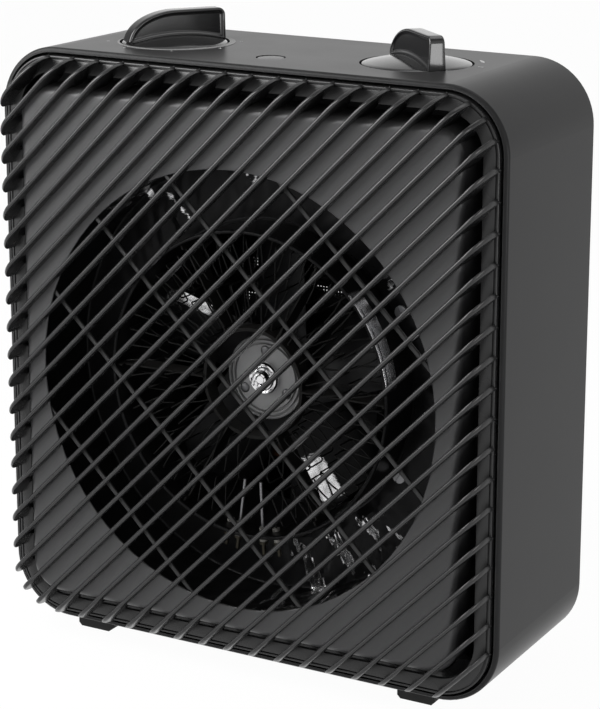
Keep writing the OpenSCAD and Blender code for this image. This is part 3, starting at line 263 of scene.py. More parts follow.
def wire(made, sockets):
    """Fills a node's inputs: another node's socket is linked, a value is set."""
    for key, value in sockets.items():
        if isinstance(value, bpy.types.NodeSocket):
            made.id_data.links.new(value, made.inputs[key])
        else:
            made.inputs[key].default_value = value
    return made


def node(tree, kind, sockets=None, **settings):
    """Adds a node with its settings, fills its inputs and gives its outputs."""
    made = tree.nodes.new(kind)
    for key, value in settings.items():
        setattr(made, key, value)
    return wire(made, sockets or {}).outputs


def maths(tree, operation, *terms, **settings):
    """The result of a Math node on sockets or plain numbers."""
    return node(tree, "ShaderNodeMath", dict(enumerate(terms)), operation=operation, **settings)[0]


def ramp(tree, value, start, end, low=0.0, high=1.0):
    """Takes values from start to end onto low to high, and holds them there."""
    sockets = {"Value": value, "From Min": start, "From Max": end, "To Min": low, "To Max": high}
    return node(tree, "ShaderNodeMapRange", sockets)[0]


def mix(tree, share, first, second, kind="FLOAT"):
    """The first value or colour, turned into the second by a share."""
    return node(tree, "ShaderNodeMix", {"Factor": share, "A": first, "B": second}, data_type=kind)["Result"]


def noise(tree, spot, scale, detail):
    """Cloudy noise: scale is patches to the metre, detail adds finer ones."""
    return node(tree, "ShaderNodeTexNoise", {"Vector": spot, "Scale": scale, "Detail": detail})["Fac"]


def per_metre(tree, size_mm):
    """How many patches of a size in millimetres fit in a metre."""
    return maths(tree, "DIVIDE", 1000, size_mm)


# %% Start a node group
mid_grey = (0.1, 0.1, 0.1, 1.0)


def effect(name, inputs, outputs):
    """A shader node group from named inputs and outputs with their usual values:
    the group, the values given to it and the node that takes its results."""
    group = bpy.data.node_groups.new(name, "ShaderNodeTree")
    for way, sockets in (("INPUT", inputs), ("OUTPUT", outputs)):
        for title, value in sockets.items():
            kind = "NodeSocketColor" if isinstance(value, tuple) else "NodeSocketFloat"
            socket = group.interface.new_socket(title, in_out=way, socket_type=kind)
            socket.default_value = value
    print("made", group.name)
    return group, group.nodes.new("NodeGroupInput").outputs, group.nodes.new("NodeGroupOutput")


# %% Grain: the fine texture of a mould or a paint
grain, given, results = effect(
    "surface_grain", {"Size mm": 0.4, "Soft size mm": 12.0, "Soft share": 0.3}, {"Height": 0.0}
)
spot = node(grain, "ShaderNodeTexCoord")["Object"]
fine = noise(grain, spot, per_metre(grain, given["Size mm"]), 2.0)
soft = noise(grain, spot, per_metre(grain, given["Soft size mm"]), 1.0)
wire(results, {"Height": mix(grain, given["Soft share"], fine, soft)})

# %% Drift: slow changes of tone and gloss
drift, given, results = effect(
    "tone_drift",
    {"Colour": mid_grey, "Roughness": 0.4, "Amount": 0.1, "Patch mm": 30.0},
    {"Colour": mid_grey, "Roughness": 0.4},
)
spot = node(drift, "ShaderNodeTexCoord")["Object"]
cloud = noise(drift, spot, per_metre(drift, given["Patch mm"]), 3.0)
swing = maths(drift, "MULTIPLY", maths(drift, "SUBTRACT", cloud, 0.5), given["Amount"])
bright = maths(drift, "MULTIPLY_ADD", swing, 2.0, 1.0)
tone = node(drift, "ShaderNodeHueSaturation", {"Color": given["Colour"], "Value": bright})[0]
rough = maths(drift, "ADD", swing, given["Roughness"], use_clamp=True)
wire(results, {"Colour": tone, "Roughness": rough})

# %% Dust: a pale veil on what faces up
dust_grey = (0.45, 0.44, 0.42, 1)
dust_rough = 0.9
dust_patches = 90.0
dust, given, results = effect(
    "settled_dust",
    {"Colour": mid_grey, "Roughness": 0.4, "Amount": 0.1},
    {"Colour": mid_grey, "Roughness": 0.4},
)
facing = node(dust, "ShaderNodeNewGeometry")["Normal"]
upward = ramp(dust, node(dust, "ShaderNodeSeparateXYZ", {0: facing})["Z"], 0.2, 1.0)
cloud = noise(dust, node(dust, "ShaderNodeTexCoord")["Object"], dust_patches, 6.0)
veil = maths(dust, "MULTIPLY", upward, cloud)
share = maths(dust, "MULTIPLY", veil, given["Amount"], use_clamp=True)
tint = mix(dust, share, given["Colour"], dust_grey, "RGBA")
wire(results, {"Colour": tint, "Roughness": mix(dust, share, given["Roughness"], dust_rough)})

# %% Corners: lighter where handling and the mould thin the surface, and on the case also a painted highlight along its edges
corners, given, results = effect(
    "bright_corners",
    {"Colour": mid_grey, "Wear and highlight colour": (0.3, 0.3, 0.3, 1.0), "Width mm": 0.5, "Amount": 0.3},
    {"Colour": mid_grey},
)
radius = maths(corners, "MULTIPLY", given["Width mm"], millimetre)
rounded = node(corners, "ShaderNodeBevel", {"Radius": radius}, samples=4)[0]
facing = node(corners, "ShaderNodeNewGeometry")["Normal"]
likeness = node(corners, "ShaderNodeVectorMath", {0: rounded, 1: facing}, operation="DOT_PRODUCT")
edge = ramp(corners, likeness["Value"], 0.99, 0.8)
share = maths(corners, "MULTIPLY", edge, given["Amount"], use_clamp=True)
wire(results, {"Colour": mix(corners, share, given["Colour"], given["Wear and highlight colour"], "RGBA")})

# %% Rolled: the fine lines of rolled or drawn metal
rolled, given, results = effect("rolled_lines", {"Along mm": 30.0, "Across mm": 0.3}, {"Lines": 0.5})
parts = node(rolled, "ShaderNodeSeparateXYZ", {0: node(rolled, "ShaderNodeTexCoord")["Object"]})
across = per_metre(rolled, given["Across mm"])
scales = (per_metre(rolled, given["Along mm"]), across, across)
stretched = {k: maths(rolled, "MULTIPLY", parts[k], scale) for k, scale in enumerate(scales)}
spread = node(rolled, "ShaderNodeCombineXYZ", stretched)[0]
wire(results, {"Lines": noise(rolled, spread, 1.0, 3.0)})

# %% [markdown]
# ## Finishes
#
# The heater has three families of finish. Moulded plastics differ in grain,
# gloss and tone. Painted sheet has a soft orange peel. Bare metals differ in
# colour, polish and rolling lines. A material could be built by hand for each of
# the thirty, but one function makes each family, and the record's slots then
# name the finishes one by one.

# %% Start a finish


def new_finish(name, specular=0.5, metallic=0.0, coat=0.0):
    """A material with one Principled shader and the plain numbers on it. One that
    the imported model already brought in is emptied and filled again."""
    finish = bpy.data.materials.get(name) or bpy.data.materials.new(name)
    finish.use_nodes = True
    tree = finish.node_tree
    tree.nodes.clear()
    shader = tree.nodes.new("ShaderNodeBsdfPrincipled")
    wire(shader, {"Metallic": metallic, "Specular IOR Level": specular})
    wire(shader, {"Coat Weight": coat, "Coat Roughness": 0.1})
    wire(tree.nodes.new("ShaderNodeOutputMaterial"), {"Surface": shader.outputs[0]})
    return finish, tree, shader


def grouped(tree, group, sockets):
    """Places a shared effect in a material, fills it and gives its outputs."""
    return node(tree, "ShaderNodeGroup", sockets, node_tree=group)


def drifting(tree, tone, rough, amount, patch_mm):
    """A tone and a roughness that drift by an amount over patches of a size."""
    sockets = {"Colour": (*tone, 1.0), "Roughness": rough, "Amount": amount, "Patch mm": patch_mm}
    return grouped(tree, drift, sockets)


def bump(tree, height, strength, distance_mm):
    """The normal that a height gives."""
    distance = distance_mm * millimetre
    return node(tree, "ShaderNodeBump", {"Strength": strength, "Distance": distance, "Height": height})[0]


# %% Moulded plastic and painted sheet
moulding = {"grain_mm": 0.35, "depth_mm": 0.02, "relief": 0.5, "soft_mm": 18.0, "soft_share": 0.35}
moulding |= {"patch_mm": 26.0, "drift_amount": 0.06, "edge_mm": 0.4, "worn": 0.25, "dust_amount": 0.1}
paint = {"grain_mm": 1.6, "depth_mm": 0.03, "relief": 0.35, "soft_mm": 30.0, "soft_share": 0.5}
paint |= {"patch_mm": 45.0, "drift_amount": 0.05, "edge_mm": 0.35, "worn": 0.3, "dust_amount": 0.15}
paint |= {"worn_tone": (0.3, 0.3, 0.31)}


def covered(name, tone, rough, usual, specular=0.5, coat=0.0, **own):
    """A skin of plastic or paint: the tone drifts, its corners are brighter and
    dust lies on it, over a fine relief. A finish's own values go before the
    usual ones of its family."""
    facts = {**usual, **own}
    finish, tree, shader = new_finish(name, specular=specular, coat=coat)
    tones = drifting(tree, tone, rough, facts["drift_amount"], facts["patch_mm"])
    edge = {"Wear and highlight colour": (*facts["worn_tone"], 1.0), "Width mm": facts["edge_mm"], "Amount": facts["worn"]}
    edges = grouped(tree, corners, {"Colour": tones["Colour"], **edge})
    lying = {"Colour": edges["Colour"], "Roughness": tones["Roughness"], "Amount": facts["dust_amount"]}
    veil = grouped(tree, dust, lying)
    sizes = {"Size mm": facts["grain_mm"], "Soft size mm": facts["soft_mm"]}
    texture = grouped(tree, grain, {**sizes, "Soft share": facts["soft_share"]})
    normal = bump(tree, texture["Height"], facts["relief"], facts["depth_mm"])
    wire(shader, {"Base Color": veil["Colour"], "Roughness": veil["Roughness"], "Normal": normal})
    return finish


def moulded(name, tone, rough, **own):
    """Moulded plastic, whose corners take a lighter tone of its own: wear, and on the case also a painted
    highlight.
    """
    lighter = [min(1.0, v * 2.2 + 0.02) for v in tone]
    return covered(name, tone, rough, {**moulding, "worn_tone": lighter}, **own)


def painted(name, tone, rough, **own):
    """Painted sheet with orange peel, whose rubbed corners show the metal."""
    return covered(name, tone, rough, paint, **own)


# %% Bare metal
drawn = {"streak": 0.12, "along_mm": 40.0, "across_mm": 0.25, "depth_mm": 0.01}
tarnish = {"drift_amount": 0.1, "patch_mm": 12.0, "metallic": 1.0}


def metal(name, tone, rough, **own):
    """Rolling or drawing lines that change the polish, over a slow tarnish."""
    facts = {**drawn, **tarnish, **own}
    finish, tree, shader = new_finish(name, specular=0.15, metallic=facts["metallic"])
    tones = drifting(tree, tone, rough, facts["drift_amount"], facts["patch_mm"])
    sizes = {"Along mm": facts["along_mm"], "Across mm": facts["across_mm"]}
    lines = grouped(tree, rolled, sizes)["Lines"]
    polish = maths(tree, "MULTIPLY_ADD", lines, facts["streak"], tones["Roughness"], use_clamp=True)
    normal = bump(tree, lines, 0.3, facts["depth_mm"])
    wire(shader, {"Base Color": tones["Colour"], "Roughness": polish, "Normal": normal})
    return finish


# %% Metal under a dark film, bare in places: paint on the fan, painted shade on the foil and the ring


def partly_bare(name, film, film_rough, film_metallic, bare_tone, bare_rough):
    """A dark film over bright metal. The piece's own attribute says how bare the
    metal is, and fine rolling lines fray the border between the two."""
    finish, tree, shader = new_finish(name, specular=0.12)
    reading = node(tree, "ShaderNodeAttribute", attribute_name="bare")["Fac"]
    tones = drifting(tree, film, film_rough, 0.15, 9.0)
    lines = grouped(tree, rolled, {"Along mm": 60.0, "Across mm": 0.4})["Lines"]
    share = ramp(tree, maths(tree, "ADD", lines, reading), 0.85, 1.15)
    tint = mix(tree, share, tones["Colour"], (*bare_tone, 1.0), "RGBA")
    polish = mix(tree, share, tones["Roughness"], bare_rough)
    kind = ramp(tree, share, 0.0, 1.0, film_metallic, 1.0)
    wire(shader, {"Base Color": tint, "Roughness": polish, "Metallic": kind})
    wire(shader, {"Normal": bump(tree, lines, 0.2, 0.01)})
    return finish


# %% The finishes of this heater, slot by slot
# The case's strong, wide lighter edges are partly wear and partly a painted highlight along its edges.
case_facts = {"depth_mm": 0.015, "worn": 0.9, "edge_mm": 1.2, "specular": 0.1}
grille_facts = {"worn": 0.12, "specular": 0.42}
knob_facts = {"grain_mm": 1.2, "depth_mm": 0.004, "coat": 0.3}
lens_facts = {"grain_mm": 3.0, "depth_mm": 0.01, "specular": 0.2}
mica_facts = {"grain_mm": 2.5, "drift_amount": 0.4, "worn": 0.0, "specular": 0.12}
wire_facts = {"streak": 0.2, "along_mm": 4.0, "across_mm": 0.2, "metallic": 0.1}
stacked = {"along_mm": 60.0, "across_mm": 0.5}
plated = {"streak": 0.03, "across_mm": 2.0, "depth_mm": 0.001, "drift_amount": 0.03}
print_facts = {"grain_mm": 0.25, "worn": 0.0}
made_finishes = (
    moulded("case_plastic", (0.018, 0.018, 0.0185), 0.3, grain_mm=0.5, dust_amount=0.02, **case_facts),
    moulded("grille_plastic", (0.014, 0.014, 0.0145), 0.27, grain_mm=0.5, dust_amount=0.02, **grille_facts),
    painted("baffle_paint", (0.052, 0.052, 0.0535), 0.34, specular=0.4),
    moulded("cover_plastic", (0.016, 0.016, 0.0165), 0.4, grain_mm=0.5, dust_amount=0.06, specular=0.3),
    moulded("knob_plastic", (0.008, 0.008, 0.0085), 0.14, dust_amount=0.02, **knob_facts),
    painted("bar_steel", (0.014, 0.014, 0.0145), 0.34, grain_mm=0.8, specular=0.45),
    metal("sheet_steel", (0.03, 0.03, 0.031), 0.4, streak=0.2),
    metal("bright_aluminium", (0.02, 0.02, 0.021), 0.2, streak=0.15, along_mm=60.0),
    # Mica and resistance wire are near black: painted shade for the dark inside of the duct.
    moulded("mica", (0.009, 0.0087, 0.0082), 0.5, **mica_facts),
    metal("nichrome", (0.009, 0.009, 0.0088), 0.4, **wire_facts),
    moulded("ceramic", (0.3, 0.29, 0.27), 0.3, grain_mm=0.6, worn=0.1),
    # The brass is darkened: painted shade for its terminals inside the duct.
    metal("brass", (0.05, 0.046, 0.036), 0.4),
    metal("zinc_steel", (0.3, 0.3, 0.31), 0.3, patch_mm=3.0),
    metal("stator_steel", (0.06, 0.06, 0.062), 0.45, depth_mm=0.15, **stacked),
    metal("copper_winding", (0.2, 0.08, 0.03), 0.35, depth_mm=0.25, **stacked),
    metal("diecast", (0.1, 0.1, 0.1), 0.5, along_mm=1.0, across_mm=0.6, depth_mm=0.06),
    metal("bronze", (0.5, 0.33, 0.16), 0.4, along_mm=0.8, across_mm=0.5),
    partly_bare("fan_paint", (0.008, 0.008, 0.0085), 0.35, 0.0, (0.85, 0.85, 0.86), 0.2),
    painted("hub_paint", (0.24, 0.24, 0.243), 0.3, grain_mm=0.9),
    metal("chrome", (0.75, 0.75, 0.76), 0.1, **plated),
    moulded("black_plastic", (0.015, 0.015, 0.016), 0.4),
    moulded("white_plastic", (0.65, 0.64, 0.6), 0.35, dust_amount=0.2),
    moulded("lens_plastic", (0.02, 0.02, 0.021), 0.25, dust_amount=0.02, **lens_facts),
    moulded("red_plastic", (0.4, 0.02, 0.015), 0.35),
    moulded("rubber", (0.012, 0.012, 0.012), 0.75, grain_mm=0.3, depth_mm=0.04, specular=0.3),
    # The foil's near-black film is painted shade for the dark inside of the duct.
    partly_bare("foil", (0.01, 0.01, 0.0105), 0.3, 0.25, (0.8, 0.8, 0.81), 0.24),
    metal("rivet_steel", (0.14, 0.14, 0.145), 0.35, patch_mm=3.0),
    moulded("print_white", (0.55, 0.55, 0.55), 0.5, **print_facts),
    moulded("print_grey", (0.17, 0.17, 0.17), 0.5, **print_facts),
)
finishes = {finish.name: finish for finish in made_finishes}
print(len(finishes), "finishes")

# %% Check that every solid has the finish of its slot
missing = [n for n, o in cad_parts.items() if o.material_slots[0].material.name not in finishes]
print(len(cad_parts), "solids, without a finish:", missing)

# %% [markdown]
# ## Front grille
#
# The grille is one moulding: a flat frame with a bead and a step line, and
# straight slanted ribs that stand forward of the baffle. Each rib has a rounded
# nose, and its ends curve down to the frame in a quarter ellipse. Boxes cut by a
# boolean would lose that curve. A rib is a grid here: along it run the stations,
# across it the nose's section, and the height of every point follows from how
# far it lies inside the outline.

# %% Sizes of the grille
grille_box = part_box("front_grille")
grille_half_w = grille_box[1].x * 1000
grille_half_h = (grille_box[1].z - grille_box[0].z) * 500
grille_radius = 23.2
grille_outline = (grille_half_w, grille_half_h, grille_radius)
flange_front = -1.2
nose_depth = grille_box[0].y * 1000 - lip_y
rib_run = 8.2
rib_spacing = 8.6
rib_half = 0.97
plate_half_w = grille_half_w - 11.4
plate_half_h = grille_half_h - 11.4
plate_radius = 13.0
plate_front = -9.0
print("grille", 2 * grille_half_w, "x", 2 * grille_half_h, "noses at depth", round(nose_depth, 2))

# %% The ribs
half_across = np.array([1, 1, 0.96, 0.85, 0.66, 0.4, 0.14])
half_drop = np.array([2.6, 1.1, 0.78, 0.5, 0.26, 0.09, 0.01])
nose_across = np.concatenate([-half_across, half_across[::-1]])
nose_drop = np.concatenate([half_drop, half_drop[::-1]])
rib_clear = 0.3
back_round = 3.5
end_stations = [0.02, 0.1, 0.3, 0.8, 1.6, 2.8, 4.4, 6.4, 8.2, 11.05, 11.15, 11.8, 12.8, 14.2, 16.4]


def rib_front(x, z):
    """Depth of the noses: a quarter ellipse over the run inside the outline."""
    inside = np.clip(inset_of(x, z, *grille_outline) / rib_run, 0, 1)
    return flange_front + (nose_depth - flange_front) * np.sqrt(1 - (1 - inside) ** 2)


def rib_back(x, z):
    """Depth of the ribs' backs: a quarter round in front of the baffle's border."""
    border_line = (plate_half_w + rib_clear, plate_half_h + rib_clear, plate_radius + rib_clear)
    inside = inset_of(x, z, *border_line)
    to_round = back_round - np.clip(inside, 0, back_round)
    rise = back_round - np.sqrt(np.clip(back_round**2 - to_round**2, 0, None))
    return np.where(inside > 0, plate_front - rib_clear + rise, -0.2)


def rib(offset):
    """One rib as a grid: stations along it crowd at its ends and where its back
    leaves the baffle, columns run over the section from back to back."""
    along = np.linspace(-200, 200, 4001)
    x, z = (-offset + along) / np.sqrt(2), (offset + along) / np.sqrt(2)
    inside = inset_of(x, z, *grille_outline)
    low, high = along[inside > 0][[0, -1]]
    ends = low + (high - low) * (1 - np.cos(np.linspace(0, np.pi, 50))) / 2
    half = len(along) // 2
    left = np.interp(end_stations, inside[:half], along[:half])
    right = np.interp(end_stations, inside[half:][::-1], along[half:][::-1])
    station = np.unique(np.round(np.concatenate([ends, left, right]), 3))
    station = station[(station >= low) & (station <= high)]
    s, v = np.meshgrid(station, nose_across * rib_half, indexing="ij")
    x, z = (-(offset + v) + s) / np.sqrt(2), (offset + v + s) / np.sqrt(2)
    front, back = rib_front(x, z), rib_back(x, z)
    depth = np.minimum(front + nose_drop, back)
    depth[:, [0, -1]] = back[:, [0, -1]]
    return rod(place(x, depth, middle_height + z))


reach = (grille_half_w + grille_half_h) / np.sqrt(2) - grille_radius * (np.sqrt(2) - 1)
count = int(np.floor(reach / rib_spacing - 0.5))
offsets = (np.arange(-count - 1, count + 1) + 0.5) * rib_spacing
ribs = [rib(o) for o in offsets]
print(len(ribs), "ribs", round(rib_spacing, 2), "mm apart")

# %% The frame round the ribs
wall = 1.6
frame_profile = np.array(
    [[0, 10], [0, -0.8]]
    + arc(0.4, -0.8, 0.4, 180, 270, 4)
    + arc(0.8, -1.0, 0.2, 270, 360, 3)
    + [[1.0, -0.6], [1.5, -0.6], [1.5, -1.05]]
    + arc(1.65, -1.05, 0.15, 180, 270, 3)
    + arc(6.6, -0.8, 0.4, 270, 360, 4)
    + [[7.0, 0.8], [wall, 0.8], [wall, 10]]
)
sill_profile = np.array([[6.6, -0.6], [9.0, -1.8], [11.3, -5.0], [11.3, 1.6], [6.6, 1.4]])


def carried(profile, centres, rays):
    """A profile of (inset, depth) at each of the places round the outline."""
    flat = centres + (grille_radius - profile[:, 0])[:, None, None] * rays
    depth = np.broadcast_to(profile[:, 1:], flat.shape[:2])
    return place(flat[..., 0], depth, middle_height + flat[..., 1])


def sill():
    """A narrow ledge behind the flange along the foot: its section follows the
    outline from the middle of one lower corner to the middle of the other."""
    centres, rays = corner_rays(*grille_outline, per_corner=17, per_side=6)
    turn_of = np.degrees(np.arctan2(rays[:, 1], rays[:, 0])) % 360
    run = (turn_of > 200) & (turn_of < 340)
    return rod(carried(sill_profile, centres[run], rays[run]).swapaxes(0, 1))


frame_ring = grid(carried(frame_profile, *corner_rays(*grille_outline, per_corner=20)), True, True)
boss_radius, bore_radius = 2.8, 1.4
side_place = grille_half_w - wall - 2.6
boss_profile = [[bore_radius, 2], [bore_radius, 10], [boss_radius, 10], [boss_radius, 0.5]]
boss_profile += [[0.0, 0.5], [0.0, 2]]
bosses = [
    turned(boss_profile, 24, x=s * side_place, height=middle_height + h) for s in (-1, 1) for h in (-70, 70)
]
grille = make_piece("grille_moulding", [*ribs, frame_ring, sill(), *bosses], "case", "grille_plastic", 40)
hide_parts("front_grille")

# %% [markdown]
# ## Baffle
#
# The baffle is a shallow pan pressed from sheet and painted. Its front border is
# rolled over, and the edge of its round opening is folded back. A bevelled box
# with a hole cut in it would have long thin faces that crease the paint's
# reflections. The grid here blends the opening's circle into the rounded
# rectangle of the border, so they run smoothly from one to the other.

# %% Press the baffle
opening_radius = 91.9
sheet = 1.0
half_sheet = sheet / 2
border = 3.2
waviness = 0.04


def pressed_pan():
    """Rows run from the folded edge of the opening over the front face and the
    border to the rear flange, and back along the inside of the sheet."""
    centres, rays = corner_rays(plate_half_w, plate_half_h, plate_radius, per_corner=24, per_side=14)
    middle = np.array([0, fan_height - middle_height])
    rim = centres + (plate_radius - border) * rays
    toward = rim - middle
    toward /= np.linalg.norm(toward, axis=1, keepdims=True)
    rows, depths = [], []

    def add_face(depth, shares):
        """Rows at one depth, by their share of the way from circle to border."""
        circle = middle + (opening_radius + half_sheet) * toward
        for t in shares:
            rows.append(circle * (1 - t) + rim * t)
            depths.append(depth)

    def add_border(inset_depth):
        """Rows round the rounded rectangle, by their inset and depth."""
        for inset, depth in inset_depth:
            rows.append(centres + (plate_radius - inset) * rays)
            depths.append(depth)

    fold = arc(opening_radius + half_sheet, plate_front + half_sheet, half_sheet, 90, 270, 7)
    for radius, depth in fold:
        rows.append(middle + radius * toward)
        depths.append(depth)
    add_face(plate_front, np.linspace(0, 1, 14)[1:])
    add_border(arc(border, plate_front + border, border, 270, 180, 9)[1:])
    add_border([(0, 4), (0, 12.6), (0.4, 13), (5.6, 13), (5.6, 12), (1.4, 12), (1.0, 11.6), (1.0, 4)])
    add_border(arc(border, plate_front + border, border - sheet, 180, 270, 9))
    add_face(plate_front + sheet, np.linspace(1, 0, 14)[1:-1])
    rows = np.array(rows)
    depths = np.array(depths)[:, None]
    wave = waviness * (1 + np.sin(rows[..., 0] / 17) * np.cos(rows[..., 1] / 23 + 1))
    on_face = depths < plate_front + sheet + 0.01
    return grid(place(rows[..., 0], depths + wave * on_face, middle_height + rows[..., 1]), True, True)


pan = make_piece("baffle_pan", [pressed_pan()], "case", "baffle_paint", 50)
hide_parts("baffle_plate")

# %% [markdown]
# ## Knobs
#
# A knob is one glossy moulding: a shallow dome that fills its well and an
# upright grip. The grip is tall and square at its pointer end and falls in a
# quarter ellipse to the other. Each of its sides has a sunk panel inside a thin
# rim. Subdividing a rough block would round its square end too. The grip is a
# grid whose rows are the outline drawn inwards step by step.

# %% Shape a knob
knob_radius = 22.2
knob_place = 57.0
knob_depth = (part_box("mode_knob")[0].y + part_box("mode_knob")[1].y) * 500 - lip_y
dome_rise = 3.0
ball = (knob_radius**2 + dome_rise**2) / (2 * dome_rise)
bore = 3.05
grip_height = 13.5
grip_half = knob_radius - 0.2
grip_thick = 3.8
grip_corner = 3.0
edge_round = 0.7
panel_sink = 0.8
draft = 0.055


def dome_height(distance):
    """Height of the dome over the well's rim: a cap of a ball."""
    return dome_rise - ball + np.sqrt(ball**2 - np.minimum(distance, knob_radius) ** 2)


def grip_line(inset):
    """The grip's side outline at an inset: up the tall end, round its corner,
    level to the middle, down a quarter ellipse, and back along the dome."""
    top, half = grip_height - inset, grip_half - inset
    corner = max(grip_corner - inset, 0.6)
    tall = arc(half - corner, top - corner, corner, 0, 90, 8)
    level = np.stack([np.linspace(half - corner, 0, 8)[1:-1], np.full(6, top)], -1)
    b = np.radians(np.linspace(90, 174, 30))
    low = np.stack([half * np.cos(b), top * np.sin(b)], -1)
    back = np.linspace(low[-1, 0], half, 26)[1:]
    foot = np.stack([back, dome_height(np.abs(back)) + inset - 0.5], -1)
    line = np.concatenate([tall, level, low, foot])
    line[:, 1] = np.maximum(line[:, 1], dome_height(np.abs(line[:, 0])) + inset - 0.5)
    return line


def knob_surfaces(x, angle):
    """The dome turned about the knob's axis and the grip set across it. The
    grip's rows step inwards from its crown to the panel sunk in each side."""
    rim = arc(knob_radius - 0.5, -0.5, 0.5, 0, 65, 5)
    top_angle = np.degrees(np.arcsin((knob_radius - 0.6) / ball))
    dome = arc(0, dome_rise - ball, ball, 90 - top_angle, 90, 16)
    skirt = [[bore, -4.7], [knob_radius - 0.3, -4.7], [knob_radius, -4.4]]
    under = [[0, 1.4], [bore, 1.4]]
    disc = turned(under + skirt + rim + dome, 96, "up", x, knob_depth, case_top)
    steps = arc(edge_round, grip_thick - edge_round, edge_round, 180, 90, 5)
    falls = ((0.95, 0), (1.2, 0.05), (1.45, 0.3), (1.7, 0.65), (2.0, panel_sink), (2.5, panel_sink))
    steps += [(inset, grip_thick - fall) for inset, fall in falls]
    lines = [grip_line(inset) for inset, _ in steps]
    widths = [width for _, width in steps]
    middle = np.array([3.0, 7.0])
    innermost = lines[-1]
    for share in (0.75, 0.5, 0.25, 0.0):
        lines.append(middle + (innermost - middle) * share)
        widths.append(grip_thick - panel_sink)
    near = list(zip(widths, lines))
    crown = [(width, grip_line(0.0)) for width in (-1.6, 0.0, 1.6)]
    rows = [(-width, line) for width, line in near[::-1]] + crown + near
    line = np.array([row[1] for row in rows])
    width = np.array([row[0] for row in rows])[:, None]
    width = width * (1 - draft * np.clip(line[..., 1], 0, None) / grip_thick)
    limit = np.sqrt((knob_radius - 0.05) ** 2 - width**2)
    along = np.clip(line[..., 0], -limit, limit)
    dx, dy = rotated(along, width, np.radians(angle))
    points = place(x + dx, knob_depth + dy, case_top + line[..., 1])
    return [disc, grid(points, close_columns=True)]


selector = make_piece(
    "heat_selector_knob", knob_surfaces(-knob_place, 56.5), "heat_selector", "knob_plastic", 38
)
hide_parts("mode_knob")
thermostat = make_piece(
    "thermostat_dial_knob", knob_surfaces(knob_place, -42.0), "thermostat", "knob_plastic", 38
)
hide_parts("thermostat_knob")

# %% [markdown]
# ## Heating coils
#
# Resistance wire is wound flat round slotted boards: each turn goes back along
# the outside, in across the rear, forward along the inside and out across the
# front. A curve with a bevel could draw it, but its section would twist at the
# corners. The route repeats a rounded rectangle in radius and depth while its
# angle moves on, and a small seeded wander keeps the strands from looking ruled.

# %% Wind the coils
chance = np.random.default_rng(7)
board_front, board_back = 5.5, 16.0
board_middle = (board_front + board_back) / 2
wire_turn = 1.4
wire_radius = 0.35


def one_turn(inner, outer):
    """Radius, share of the pitch and depth round one turn: four corner arcs, and
    a point half-way along the rear and the front strand."""
    a = np.linspace(0, 90, 5)
    corner_r = np.array([outer, inner, inner, outer]) + np.array([-1, 1, 1, -1]) * wire_turn
    corner_q = np.repeat([board_back - wire_turn, board_front + wire_turn], 2)
    phi = np.radians(90 * np.arange(4)[:, None] + a)
    r = corner_r[:, None] + wire_turn * np.cos(phi)
    q = corner_q[:, None] + wire_turn * np.sin(phi)
    share = np.array([0.0, 0.45, 0.5, 0.95])[:, None] + 0.05 * (a / 90)
    one = np.stack([r, share, q], -1).reshape(-1, 3)
    mid_rear, mid_front = (one[4] + one[5]) / 2, (one[14] + one[15]) / 2
    return np.concatenate([one[:5], [mid_rear], one[5:15], [mid_front], one[15:]])


def winding(inner, outer, start_angle, turns, pitch, end_radius):
    """The wire of one coil: the turn repeated while the angle moves on, with the
    strands wandering and bowing most half-way between their ends."""
    one = one_turn(inner, outer)
    radius, share, depth = np.tile(one, (turns, 1)).T
    lap = np.repeat(np.arange(turns), len(one))
    half_way = np.sin(np.pi * (radius - inner) / (outer - inner))
    wander = chance.normal(0, 0.05, turns)[lap] * half_way
    angle = start_angle + (lap + share + wander) * pitch
    bow = 0.25 * chance.random(turns)[lap] * half_way
    depth = depth - bow * np.sign(board_middle - depth)
    last_angle = start_angle + turns * pitch
    lead, tail = [end_radius, outer + 0.8, outer], [outer, outer + 0.8, end_radius]
    radius = np.concatenate([lead, radius, tail])
    theta = np.radians(np.concatenate([[start_angle] * 3, angle, [last_angle] * 3]))
    lead, tail = [board_middle, board_middle, 11.6], [9.9, board_middle, board_middle]
    depth = np.concatenate([lead, depth, tail])
    route = np.stack([radius * np.cos(theta), depth, fan_height + radius * np.sin(theta)], -1)
    hint = np.stack([-np.sin(theta), np.zeros_like(theta), np.cos(theta)], -1)
    return tube(route, wire_radius, hint)


slot_angle = 300
outer_pitch, inner_pitch = 360 / 54, 10.0
outer_start = slot_angle - outer_pitch / 4 - outer_pitch * np.floor(22 / outer_pitch)
inner_start = slot_angle - inner_pitch * 3 / 4 - inner_pitch * np.floor(20 / inner_pitch)
outer_turns = winding(46.0, 61.0, outer_start, 51, outer_pitch, 62.8)
outer_coil = make_piece("outer_heating_wire", [outer_turns], "case", "nichrome", 80)
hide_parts("heating_coil_outer")
inner_turns = winding(26.0, 42.0, inner_start, 35, inner_pitch, 43.3)
inner_coil = make_piece("inner_heating_wire", [inner_turns], "case", "nichrome", 80)
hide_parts("heating_coil_inner")

# %% [markdown]
# ## Guard bars
#
# Five thin steel bars lie behind the baffle across its opening. They are rolled
# wire, a little wider than thick, so their section has no sharp corner, and their
# ends are pinched flat where they are held. A bevelled box has neither. A section
# that changes along a straight route makes them.

# %% Roll the guard bars
bars_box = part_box("guard_bars")
bar_front, bar_back = bars_box[0].y * 1000 - lip_y, bars_box[1].y * 1000 - lip_y
bar_spacing = 39.28
bar_reach = opening_radius + 5.0
bar_half = 1.0
pinch_run = 5.0


def soft_power(value):
    """A value between -1 and 1 raised to a power under one, with its sign kept,
    which squares a circle's section a little."""
    return np.sign(value) * np.abs(value) ** 0.75


